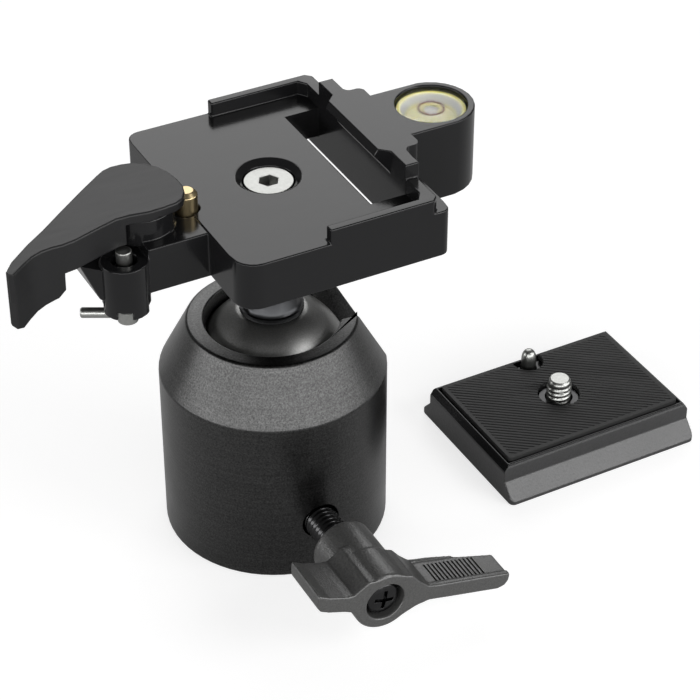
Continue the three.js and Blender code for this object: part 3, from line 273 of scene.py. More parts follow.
def grain_group():
    """Blasted or moulded grain: a colour that sparkles, a changing roughness and a height."""
    tree, given, result = group_with(
        "Grain",
        [("Colour", "NodeSocketColor", (0.5, 0.5, 0.5, 1)), ("Scale", "NodeSocketFloat", 1800.0),
         ("Sparkle", "NodeSocketFloat", 0.3), ("Roughness", "NodeSocketFloat", 0.4),
         ("Roughness spread", "NodeSocketFloat", 0.06), ("Vector", "NodeSocketVector", None)],
        [("Colour", "NodeSocketColor"), ("Roughness", "NodeSocketFloat"), ("Height", "NodeSocketFloat")])
    fine = noise_node(tree, given.outputs["Vector"], given.outputs["Scale"], 2, 0.6)
    broad_scale = math_node(tree, "MULTIPLY", given.outputs["Scale"], 0.06)
    broad = noise_node(tree, given.outputs["Vector"], broad_scale, 3)
    sharp = spread(tree, fine, -0.9, 1.9)
    swing = math_node(tree, "MULTIPLY", math_node(tree, "SUBTRACT", sharp, 0.5), given.outputs["Sparkle"])
    clouds = math_node(tree, "MULTIPLY", broad, 0.1)
    factor = math_node(tree, "ADD", math_node(tree, "ADD", swing, 0.95), clouds)
    tree.links.new(tinted(tree, given.outputs["Colour"], factor), result.inputs["Colour"])
    uneven = math_node(tree, "SUBTRACT", broad, 0.5)
    change = math_node(tree, "MULTIPLY", uneven, given.outputs["Roughness spread"])
    tree.links.new(math_node(tree, "ADD", given.outputs["Roughness"], change), result.inputs["Roughness"])
    tree.links.new(fine, result.inputs["Height"])
    return tree


def flow_group():
    """Poured or sprayed paint: a long soft ripple and faint rubbed marks in one direction."""
    tree, given, result = group_with(
        "Flow",
        [("Ripple scale", "NodeSocketFloat", 120.0), ("Mark scale", "NodeSocketFloat", 900.0),
         ("Roughness", "NodeSocketFloat", 0.2), ("Mark depth", "NodeSocketFloat", 0.08),
         ("Vector", "NodeSocketVector", None)],
        [("Roughness", "NodeSocketFloat"), ("Height", "NodeSocketFloat")])
    ripple = noise_node(tree, given.outputs["Vector"], given.outputs["Ripple scale"], 1)
    stretch = tree.nodes.new("ShaderNodeMapping")
    stretch.inputs["Scale"].default_value = (0.12, 1, 1)
    stretch.inputs["Rotation"].default_value = (0, 0, math.radians(24))
    tree.links.new(given.outputs["Vector"], stretch.inputs["Vector"])
    marks = noise_node(tree, stretch.outputs["Vector"], given.outputs["Mark scale"], 4, 0.65)
    added = math_node(tree, "MULTIPLY", math_node(tree, "SUBTRACT", marks, 0.5), given.outputs["Mark depth"])
    tree.links.new(math_node(tree, "ADD", given.outputs["Roughness"], added), result.inputs["Roughness"])
    height = math_node(tree, "ADD", ripple, math_node(tree, "MULTIPLY", marks, 0.05))
    tree.links.new(height, result.inputs["Height"])
    return tree


def turned_group():
    """Marks that a lathe leaves: fine rings round an upright axis through the vector's origin."""
    tree, given, result = group_with(
        "Turned",
        [("Ring scale", "NodeSocketFloat", 900.0), ("Vector", "NodeSocketVector", None)],
        [("Height", "NodeSocketFloat")])
    parts = tree.nodes.new("ShaderNodeSeparateXYZ")
    tree.links.new(given.outputs["Vector"], parts.inputs["Vector"])
    across = math_node(tree, "POWER", parts.outputs["X"], 2)
    along = math_node(tree, "POWER", parts.outputs["Y"], 2)
    radius = math_node(tree, "SQRT", math_node(tree, "ADD", across, along), 0)
    joined = tree.nodes.new("ShaderNodeCombineXYZ")
    tree.links.new(radius, joined.inputs["X"])
    tree.links.new(parts.outputs["Z"], joined.inputs["Y"])
    rings = noise_node(tree, joined.outputs["Vector"], given.outputs["Ring scale"], 2)
    tree.links.new(rings, result.inputs["Height"])
    return tree


def shared(name):
    """The shared effect of that name, built the first time."""
    makers = {"Grain": grain_group, "Flow": flow_group, "Turned": turned_group}
    return bpy.data.node_groups.get(name) or makers[name]()


# Materials


def new_material(name, base, metallic=0.0, roughness=0.5, specular=0.5):
    """A material with a Principled BSDF; returns it with its tree, the shader and Object coordinates."""
    material = bpy.data.materials.new(name)
    material.use_nodes = True
    material.diffuse_color = (*base, 1)
    tree = material.node_tree
    shader = tree.nodes["Principled BSDF"]
    shader.inputs["Base Color"].default_value = (*base, 1)
    shader.inputs["Metallic"].default_value = metallic
    shader.inputs["Roughness"].default_value = roughness
    shader.inputs["Specular IOR Level"].default_value = specular
    place = tree.nodes.new("ShaderNodeTexCoord").outputs["Object"]
    return material, tree, shader, place


def effect(tree, name, place, **values):
    """A shared effect placed in a material, with its own values; returns the node."""
    node = tree.nodes.new("ShaderNodeGroup")
    node.node_tree = shared(name)
    for label, value in values.items():
        node.inputs[label.replace("_", " ")].default_value = value
    tree.links.new(place, node.inputs["Vector"])
    return node


def bump(tree, shader, height, distance):
    """A Bump node from the height to the shader's normal, with its depth in metres."""
    node = tree.nodes.new("ShaderNodeBump")
    node.inputs["Strength"].default_value = 1
    node.inputs["Distance"].default_value = distance
    tree.links.new(height, node.inputs["Height"])
    tree.links.new(node.outputs["Normal"], shader.inputs["Normal"])


def grained(name, base, metallic, roughness, scale, sparkle, depth, specular=0.5):
    """A blasted, moulded or brushed finish made with the Grain effect."""
    material, tree, shader, place = new_material(name, base, metallic, roughness, specular)
    grain = effect(tree, "Grain", place, Colour=(*base, 1), Scale=scale, Sparkle=sparkle,
                   Roughness=roughness, Roughness_spread=0.08)
    tree.links.new(grain.outputs["Colour"], shader.inputs["Base Color"])
    tree.links.new(grain.outputs["Roughness"], shader.inputs["Roughness"])
    bump(tree, shader, grain.outputs["Height"], depth)
    return material


def blasted(name, base, roughness, coat, coat_roughness):
    """A blasted, turned metal under a hard oxide layer: fine specks over faint rings round the axis."""
    material, tree, shader, place = new_material(name, base, 1, roughness)
    shader.inputs["Coat Weight"].default_value = coat
    shader.inputs["Coat Roughness"].default_value = coat_roughness
    grain = effect(tree, "Grain", place, Colour=(*base, 1), Scale=2600.0, Sparkle=1.5,
                   Roughness=roughness, Roughness_spread=0.2)
    rings = effect(tree, "Turned", place, Ring_scale=1500.0)
    streaks = spread(tree, rings.outputs["Height"], 0.45, 1.55)
    tree.links.new(tinted(tree, grain.outputs["Colour"], streaks), shader.inputs["Base Color"])
    tree.links.new(grain.outputs["Roughness"], shader.inputs["Roughness"])
    faint_rings = math_node(tree, "MULTIPLY", rings.outputs["Height"], 0.5)
    bump(tree, shader, math_node(tree, "ADD", grain.outputs["Height"], faint_rings), 0.00004)
    return material


def painted(name, base, roughness, specular, ripple, mark_depth, depth):
    """A paint finish made with the Flow effect."""
    material, tree, shader, place = new_material(name, base, 0, roughness, specular)
    flow = effect(tree, "Flow", place, Roughness=roughness, Mark_depth=mark_depth, Ripple_scale=ripple)
    tree.links.new(flow.outputs["Roughness"], shader.inputs["Roughness"])
    bump(tree, shader, flow.outputs["Height"], depth)
    return material


def turned_metal(name, base, roughness, ring_scale, depth):
    """A lathe-turned metal made with the Turned effect."""
    material, tree, shader, place = new_material(name, base, 1, roughness)
    rings = effect(tree, "Turned", place, Ring_scale=ring_scale)
    bump(tree, shader, rings.outputs["Height"], depth)
    return material


def clear(name, base, roughness, ior, alpha):
    """A clear material that also lets light straight through; its colour is slightly uneven."""
    material, tree, shader, place = new_material(name, base, 0, roughness)
    shader.inputs["Transmission Weight"].default_value = 1
    shader.inputs["IOR"].default_value = ior
    shader.inputs["Alpha"].default_value = alpha
    uneven = spread(tree, noise_node(tree, place, 150.0, 1), 0.94, 1.0)
    rgb = tree.nodes.new("ShaderNodeRGB")
    rgb.outputs[0].default_value = (*base, 1)
    tree.links.new(tinted(tree, rgb.outputs[0], uneven), shader.inputs["Base Color"])
    return material


def height_material(name, low, high, stops, roughness, specular, alpha=1.0):
    """A slightly uneven material whose colour follows the height between two heights."""
    material, tree, shader, place = new_material(name, stops[0][1], 0, roughness, specular)
    shader.inputs["Alpha"].default_value = alpha
    parts = tree.nodes.new("ShaderNodeSeparateXYZ")
    tree.links.new(place, parts.inputs["Vector"])
    share = tree.nodes.new("ShaderNodeMapRange")
    share.inputs["From Min"].default_value = low
    share.inputs["From Max"].default_value = high
    tree.links.new(parts.outputs["Z"], share.inputs["Value"])
    ramp = tree.nodes.new("ShaderNodeValToRGB")
    while len(ramp.color_ramp.elements) < len(stops):
        ramp.color_ramp.elements.new(1)
    for element, (position, value) in zip(ramp.color_ramp.elements, stops):
        element.position = position
        element.color = (*value, 1)
    tree.links.new(share.outputs["Result"], ramp.inputs["Fac"])
    uneven = spread(tree, noise_node(tree, place, 260.0, 2), 0.9, 1.06)
    tree.links.new(tinted(tree, ramp.outputs["Color"], uneven), shader.inputs["Base Color"])
    return material


def finishes():
    """Every finish of the object, under the record's name for it."""
    tone = colours()
    return {
        "black_paint": painted("black_enamel", tone.enamel, 0.16, 0.32, 160.0, 0.1, 0.000012),
        "cast": grained("cast_paint", tone.cast, 0, 0.3, 1500.0, 0.3, 0.00004, 0.7),
        "lever_metal": painted("satin_paint", tone.satin, 0.42, 0.4, 400.0, 0.1, 0.000008),
        "sandblasted_anodised": blasted("blasted_anodised", tone.anodised, 0.36, 0.7, 0.28),
        "ball_metal": grained("ball_satin", tone.ball, 1, 0.36, 3200.0, 0.25, 0.000012),
        "black_chrome": turned_metal("black_chrome", tone.chrome, 0.3, 900.0, 0.000004),
        "grained_plastic": grained("grained_plastic", tone.plastic, 0, 0.34, 2400.0, 0.7, 0.00006, 1.0),
        "rubber": grained("pad_rubber", tone.rubber, 0, 0.55, 3000.0, 0.2, 0.00001, 0.35),
        "plated_steel": grained("zinc_plate", tone.zinc, 1, 0.34, 1500.0, 0.12, 0.00001),
        "black_steel": grained("black_steel", tone.black_steel, 1, 0.22, 2000.0, 0.15, 0.000006),
        "brass": grained("brass", tone.brass, 1, 0.3, 1400.0, 0.1, 0.000008),
        "acetal": grained("acetal", tone.acetal, 0, 0.45, 1500.0, 0.05, 0.000005),
        "clear_acrylic": clear("clear_acrylic", (0.98, 0.98, 0.95), 0.02, 1.3, 0.08),
        "level_fluid": clear("level_fluid", tone.fluid, 0.02, 1.3, 0.1),
        "ring_red": grained("level_ring_print", tone.ring, 0, 0.6, 4000.0, 0.1, 0.000002, 0.1),
    }


def finish_for(slot):
    """The finish of that name, all of them built the first time."""
    key = "ballhead_" + slot
    found = bpy.data.materials.get(key)
    if not found:
        for name, material in finishes().items():
            material.name = "ballhead_" + name
        found = bpy.data.materials[key]
    return found


# How a piece is made


def deselect_all():
    for thing in bpy.context.view_layer.objects:
        thing.select_set(False)


def make_active(thing):
    deselect_all()
    thing.select_set(True)
    bpy.context.view_layer.objects.active = thing


def record_slot(node):
    """The record's material slot of a CAD node."""
    return next(part["material_slot"] for part in frame["record"]["subparts"] if part["node"] == node)


def body_with(node):
    """The body that a CAD node rides on."""
    bodies = frame["record"]["behaviour"]["bodies"]
    return next(name for name, nodes in bodies.items() if node in nodes)


def install(piece, node, slot=None):
    """Gives a finished piece its material and its body, and hides the CAD node that it stands for."""
    slot = slot or record_slot(node)
    piece.data.materials.clear()
    piece.data.materials.append(finish_for(slot))
    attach(piece, body_with(node))
    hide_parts(node)


def copy_of(node, name):
    """A merged copy of a CAD node, its flat faces whole again and its mesh in the row frame."""
    source = frame["nodes"][node]
    piece = source.copy()
    piece.data = source.data.copy()
    piece.name = name
    piece.parent = None
    piece.data.transform(source.matrix_world)
    piece.matrix_world = Matrix()
    bpy.context.collection.objects.link(piece)
    make_active(piece)
    bpy.ops.object.mode_set(mode="EDIT")
    bpy.ops.mesh.select_all(action="SELECT")
    bpy.ops.mesh.remove_doubles(threshold=sizes().merge)
    bpy.ops.mesh.dissolve_degenerate(threshold=sizes().merge)
    bpy.ops.mesh.dissolve_limited(angle_limit=math.radians(FLAT_ANGLE))
    bpy.ops.object.mode_set(mode="OBJECT")
    return piece


def apply_all(piece):
    make_active(piece)
    for modifier in list(piece.modifiers):
        bpy.ops.object.modifier_apply(modifier=modifier.name)


def straight_run(edge, corner, wanted):
    """Length of the edges that run on in a line from the corner, counted up to the wanted length."""
    along = edge.other_vert(corner).co - corner.co
    total = along.length
    while total < wanted:
        far = edge.other_vert(corner)
        ahead = [other for other in far.link_edges
                 if other is not edge and turn_cosine(other, far, along) > STRAIGHT_ON]
        if not ahead:
            break
        edge = max(ahead, key=lambda other: turn_cosine(other, far, along))
        corner = far
        along = edge.other_vert(corner).co - corner.co
        total += along.length
    return total


def turn_cosine(edge, corner, along):
    """1 where the edge leaves the corner in the given direction, 0 where it leaves square to it."""
    away = edge.other_vert(corner).co - corner.co
    return away.normalized().dot(along.normalized())


def edge_share(edge, width):
    """The share of the rounding that fits at an edge, so that it never runs past the edges beside it."""
    room = width / ROUNDING_SHARE
    for corner in edge.verts:
        back = corner.co - edge.other_vert(corner).co
        for other in corner.link_edges:
            cosine = turn_cosine(other, corner, back)
            if other is edge or cosine > SIDE_BY_SIDE:
                continue
            square = max(math.sqrt(1 - min(cosine ** 2, 1)), LEAST_SQUARE)
            room = min(room, straight_run(other, corner, width / ROUNDING_SHARE) * square)
    return min(1, room * ROUNDING_SHARE / width)


def weigh_edges(piece, width, angle):
    """Gives each edge that is sharper than the angle its share of the rounding."""
    edges = bmesh.new()
    edges.from_mesh(piece.data)
    weight = edges.edges.layers.float.new("bevel_weight_edge")
    for edge in edges.edges:
        if edge.is_manifold and edge.calc_face_angle() > math.radians(angle):
            edge[weight] = edge_share(edge, width)
    edges.to_mesh(piece.data)
    edges.free()


def folded_places(piece, least):
    """The places where a surface turns back on itself: along an edge longer than the least length, or inside
    a face whose outline crosses itself."""
    edges = bmesh.new()
    edges.from_mesh(piece.data)
    places = [corner.co.copy() for edge in edges.edges for corner in edge.verts
              if edge.is_manifold and edge.calc_face_angle() > FOLD_ANGLE and edge.calc_length() > least]
    edges.free()
    mesh = piece.data
    mesh.calc_loop_triangles()
    for triangle in mesh.loop_triangles:
        face = mesh.polygons[triangle.polygon_index]
        if triangle.area > least ** 2 * FLIPPED_SHARE and triangle.normal.dot(face.normal) < 0:
            corners = [mesh.vertices[i].co.copy() for i in triangle.vertices]
            _, shortest = min(((corners[i] - corners[i - 1]).length, i) for i in range(3))
            places += [corners[shortest], corners[shortest - 1]]
    return places


def ease_edges(piece, width):
    """Halves the rounding next to each place where it would fold the surface, until none is left or the tries
    run out.
    """
    for _ in range(ROUNDING_TRIES):
        trial = piece.copy()
        trial.data = piece.data.copy()
        bpy.context.collection.objects.link(trial)
        bevelled(trial, width)
        places = folded_places(trial, width)
        bpy.data.objects.remove(trial)
        if not places:
            break
        near = KDTree(len(places))
        for number, place in enumerate(places):
            near.insert(place, number)
        near.balance()
        edges = bmesh.new()
        edges.from_mesh(piece.data)
        weight = edges.edges.layers.float["bevel_weight_edge"]
        for edge in edges.edges:
            if any(near.find(corner.co)[2] < width * 2 for corner in edge.verts):
                edge[weight] *= 0.5
        edges.to_mesh(piece.data)
        edges.free()


def bevelled(piece, width):
    """Rounds the edges that have a share of the rounding."""
    bevel = piece.modifiers.new("Rounded edges", "BEVEL")
    bevel.width = width
    bevel.segments = EDGE_SEGMENTS
    bevel.limit_method = "WEIGHT"
    bevel.use_clamp_overlap = False
    apply_all(piece)


def flat_faced(piece):
    """Keeps the shading of large flat faces flat next to rounded edges."""
    flat = piece.modifiers.new("Flat faces", "WEIGHTED_NORMAL")
    flat.mode = "FACE_AREA"
    flat.weight = FLAT_WEIGHT
    flat.keep_sharp = True
    apply_all(piece)


def boolean(piece, other, operation):
    """Cuts, joins or trims a piece with another, which is then removed."""
    change = piece.modifiers.new("Shape", "BOOLEAN")
    change.operation = operation
    change.solver = "EXACT"
    change.object = other
    apply_all(piece)
    bpy.data.objects.remove(other)


def rounded(piece, width, angle=EDGE_ANGLE):
    """Rounds the edges of a piece that are sharper than the angle, and keeps its flat faces flat."""
    weigh_edges(piece, width, angle)
    ease_edges(piece, width)
    make_active(piece)
    bpy.ops.object.shade_smooth()
    bevelled(piece, width)
    flat_faced(piece)


def smoothed(piece, angle=SMOOTH_ANGLE):
    """Shades a piece smooth, apart from edges sharper than the angle."""
    make_active(piece)
    bpy.ops.object.shade_smooth_by_angle(angle=math.radians(angle))


def moulded(piece, cell, rounds):
    """Rebuilds a piece in small even faces and softens them, which rounds its edges as in moulded plastic."""
    remesh = piece.modifiers.new("Even faces", "REMESH")
    remesh.mode = "VOXEL"
    remesh.voxel_size = cell
    remesh.use_smooth_shade = True
    soft = piece.modifiers.new("Soft edges", "SMOOTH")
    soft.factor = 0.5
    soft.iterations = rounds
    apply_all(piece)


def dressed(node, width, angle=EDGE_ANGLE):
    """A CAD node's piece with rounded edges, in its finish."""
    piece = copy_of(node, node + "_piece")
    rounded(piece, width, angle)
    install(piece, node)
    return piece


def plain(node, angle=SMOOTH_ANGLE, slot=None):
    """A CAD node's piece without rounding, smooth where it is round, in its finish."""
    piece = copy_of(node, node + "_piece")
    smoothed(piece, angle)
    install(piece, node, slot)
    return piece


def outline_object(name, points):
    """An open profile of (radius, height) points as a new mesh object in the XZ plane."""
    mesh = bpy.data.meshes.new(name)
    mesh.from_pydata([(r, 0, z) for r, z in points], [(i, i + 1) for i in range(len(points) - 1)], [])
    piece = bpy.data.objects.new(name, mesh)
    bpy.context.collection.objects.link(piece)
    return piece


def turned(name, points, centre, angle=SMOOTH_ANGLE, steps=None):
    """A profile that starts and ends on the axis, spun round an upright axis through the centre."""
    piece = outline_object(name, points)
    make_active(piece)
    bpy.ops.object.mode_set(mode="EDIT")
    bpy.ops.mesh.select_all(action="SELECT")
    bpy.ops.mesh.spin(steps=steps or sizes().turned_steps, angle=2 * math.pi, center=(0, 0, 0),
                      axis=(0, 0, 1))
    bpy.ops.mesh.select_all(action="SELECT")
    bpy.ops.mesh.remove_doubles(threshold=sizes().seam)
    bpy.ops.mesh.normals_make_consistent(inside=False)
    bpy.ops.object.mode_set(mode="OBJECT")
    piece.data.transform(Matrix.Translation(centre))
    smoothed(piece, angle)
    return piece


def middle(node):
    """The middle of a CAD node's box in plan, at height 0."""
    low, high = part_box(node)
    return Vector(((low[0] + high[0]) / 2, (low[1] + high[1]) / 2, 0))


def arc_points(centre_r, centre_z, radius, start, end, steps=8):
    """Points (radius, height) on an arc from one angle to another, in degrees."""
    turns = [math.radians(start + (end - start) * i / steps) for i in range(steps + 1)]
    return [(centre_r + radius * math.cos(t), centre_z + radius * math.sin(t)) for t in turns]


# Pieces, one operator for each group


class BALLHEAD_OT_housing(bpy.types.Operator):
    """Makes the turned housing with the plug, the thread insert and the parts that clamp the ball"""

    bl_idname = "ballhead.housing"
    bl_label = "Housing"

    def execute(self, context):
        dressed("housing", sizes().housing_edge, angle=24)
        dressed("base_plug", sizes().housing_edge)
        plain("thread_insert")
        dressed("thrust_wedge", sizes().small_edge)
        plain("pressure_cup")
        plain("friction_liner")
        plain("cup_spring", WIRE_ANGLE)
        return {"FINISHED"}


class BALLHEAD_OT_ball(bpy.types.Operator):
    """Makes the ball and the black chrome stem"""

    bl_idname = "ballhead.ball"
    bl_label = "Ball and stem"

    def execute(self, context):
        self.make_ball()
        plain("stem", 36)
        return {"FINISHED"}

    def make_ball(self):
        low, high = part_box("ball")
        radius = sizes().ball_radius
        centre = low[2] + radius
        flat = high[2]
        turn = math.degrees(math.asin((flat - centre) / radius))
        profile = arc_points(0, centre, radius, -90, turn, 64) + [(0, flat)]
        profile[0] = (0, low[2])
        piece = turned("ball_piece", profile, (0, 0, 0))
        install(piece, "ball")


class BALLHEAD_OT_casting(bpy.types.Operator):
    """Makes the clamp casting and the screw in the middle of its deck"""

    bl_idname = "ballhead.casting"
    bl_label = "Clamp casting"

    def execute(self, context):
        self.make_casting()
        dressed("mount_screw", sizes().small_edge)
        return {"FINISHED"}

    def make_casting(self):
        """The casting; a cut across the level's arm keeps its flat sides flat right up to its round end."""
        piece = copy_of("clamp_casting", "clamp_casting_piece")
        cut_x = middle("level_cup").x - sizes().arm_cut
        make_active(piece)
        bpy.ops.object.mode_set(mode="EDIT")
        bpy.ops.mesh.select_all(action="SELECT")
        bpy.ops.mesh.bisect(plane_co=(cut_x, 0, 0), plane_no=(1, 0, 0))
        bpy.ops.object.mode_set(mode="OBJECT")
        rounded(piece, sizes().casting_edge)
        install(piece, "clamp_casting")


class BALLHEAD_OT_lever(bpy.types.Operator):
    """Makes the quick-release lever, its pivot, its spring and the brass trigger pin"""

    bl_idname = "ballhead.lever"
    bl_label = "Quick-release lever"

    def execute(self, context):
        dressed("quick_release_lever", sizes().lever_edge)
        dressed("lever_pivot_screw", sizes().small_edge)
        plain("lever_spring", WIRE_ANGLE)
        dressed("trigger_pin", sizes().small_edge)
        plain("trigger_spring", WIRE_ANGLE)
        return {"FINISHED"}


class BALLHEAD_OT_lock(bpy.types.Operator):
    """Makes the safety lock under the lever"""

    bl_idname = "ballhead.lock"
    bl_label = "Safety lock"

    def execute(self, context):
        dressed("lock_pin", sizes().small_edge)
        dressed("lock_handle", sizes().small_edge)
        dressed("lock_collar", sizes().small_edge)
        plain("lock_spring", WIRE_ANGLE)
        return {"FINISHED"}


class BALLHEAD_OT_level(bpy.types.Operator):
    """Makes the bubble level: cup, fluid, bubble, printed ring and lens"""

    bl_idname = "ballhead.level"
    bl_label = "Bubble level"

    def execute(self, context):
        self.make_cup()
        self.make_fluid()
        plain("level_ring")
        plain("level_lens")
        return {"FINISHED"}

    def make_cup(self):
        """The moulded cup with its tapered well; its wall is coloured greyer than its floor and rim, which
        paints the shade in the well.
        """
        low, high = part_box("level_cup")
        outer = (high[0] - low[0]) / 2
        wall, edge = sizes().well_wall, sizes().small_edge
        inner = outer - wall
        floor = high[2] - sizes().well_depth
        profile = [(0, low[2]), (outer, low[2]), (outer, high[2] - edge), (outer - edge, high[2]),
                   (inner, high[2]), (inner * sizes().well_share, floor), (0, floor)]
        piece = turned("level_cup_piece", profile, middle("level_cup"), 20)
        install(piece, "level_cup")
        tone = colours()
        # Painted shade: the well's wall takes the greyer colour, while the floor and the rim take the tinted
        # one.
        stops = [(0.0, tone.vial), (0.08, tone.vial), (0.3, tone.vial_wall_shade), (0.85, tone.vial_wall_shade),
                 (0.97, tone.vial)]
        piece.data.materials[0] = height_material("ballhead_level_cup", floor, high[2], stops, 0.4, 0.2)

    def make_fluid(self):
        """The liquid in its tapered well, with the bubble as a hollow in the middle of its top; the hollow
        darkens towards its rim, a painted shade at the bubble's edge.
        """
        low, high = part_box("level_fluid")
        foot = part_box("level_cup")[1][2] - sizes().well_depth + sizes().seam * 20
        centre = middle("level_fluid")
        radius = (high[0] - low[0]) / 2 - sizes().seam * 50
        floor_radius = radius * sizes().well_share
        bubble, cap = sizes().bubble_radius, sizes().bubble_height
        sphere = (bubble ** 2 + cap ** 2) / (2 * cap)
        half = math.degrees(math.asin(bubble / sphere))
        hollow = arc_points(0, high[2] - cap + sphere, sphere, -90 + half, -90, 10)
        profile = [(0, foot), (floor_radius, foot), (radius, high[2]), *hollow]
        profile[-1] = (0, hollow[-1][1])
        piece = turned("level_fluid_piece", profile, centre)
        install(piece, "level_fluid")
        tone = colours()
        # Painted shade: the hollow turns dark towards its rim, at the edge of the bubble.
        stops = [(0.0, tone.bubble), (0.6, tone.bubble), (0.95, tone.bubble_edge_shade)]
        material = height_material("ballhead_bubble", high[2] - cap, high[2], stops, 0.15, 0.5, 0.6)
        piece.data.materials.append(material)
        for face in piece.data.polygons:
            across = Vector((face.center.x - centre.x, face.center.y - centre.y)).length
            if across < bubble and face.center.z > foot + sizes().seam * 10:
                face.material_index = 1


class BALLHEAD_OT_clamping_lever(bpy.types.Operator):
    """Makes the clamping stud, its plastic lever, the screw and the spring in it"""

    bl_idname = "ballhead.clamping_lever"
    bl_label = "Clamping lever"

    def execute(self, context):
        plain("clamp_stud", 40)
        self.make_lever()
        dressed("wing_screw", sizes().small_edge)
        plain("wing_spring", WIRE_ANGLE)
        return {"FINISHED"}

    def make_lever(self):
        """The lever: its grip grooves are filled while the edges are softened, and cut again afterwards."""
        size = sizes()
        piece = copy_of("wing_lever", "wing_lever_piece")
        floors = self.groove_floors(piece)
        filling = self.groove_prisms("grip_filling", floors, -size.small_edge, size.groove_depth, 0)
        cutter = self.groove_prisms("grip_cutter", floors, 0, size.groove_depth * 3, size.groove_trim)
        make_active(piece)
        filling.select_set(True)
        bpy.ops.object.join()
        moulded(piece, size.wing_cell, 18)
        boolean(piece, cutter, "DIFFERENCE")
        smoothed(piece, 50)
        install(piece, "wing_lever")

    def groove_floors(self, piece):
        """The corners and the normal of every long narrow upward face, which are the grip's groove floors."""
        floors = []
        for face in piece.data.polygons:
            corners = [piece.data.vertices[i].co.copy() for i in face.vertices]
            if len(corners) != 4 or face.normal.z < 0.9:
                continue
            sides = sorted((corners[i] - corners[i - 1]).length for i in range(4))
            if sides[1] < sizes().groove_width and sides[2] > sizes().groove_length:
                floors.append((corners, face.normal.copy()))
        return floors

    def groove_prisms(self, name, floors, low, high, trim):
        """One prism over each groove floor, between two heights, its far ends drawn in by trim."""
        points, faces = [], []
        for corners, normal in floors:
            centre = sum(corners, Vector()) / 4
            start = len(points)
            for height in (low, high):
                for corner in corners:
                    inward = trim if corner.y > centre.y else 0
                    points.append(corner - Vector((0, inward, 0)) + normal * height)
            foot = [start + i for i in range(4)]
            head = [start + 4 + i for i in range(4)]
            faces += [foot[::-1], head]
            faces += [[foot[i - 1], foot[i], head[i], head[i - 1]] for i in range(4)]
        mesh = bpy.data.meshes.new(name)
        mesh.from_pydata(points, [], faces)
        prisms = bpy.data.objects.new(name, mesh)
        bpy.context.collection.objects.link(prisms)
        return prisms


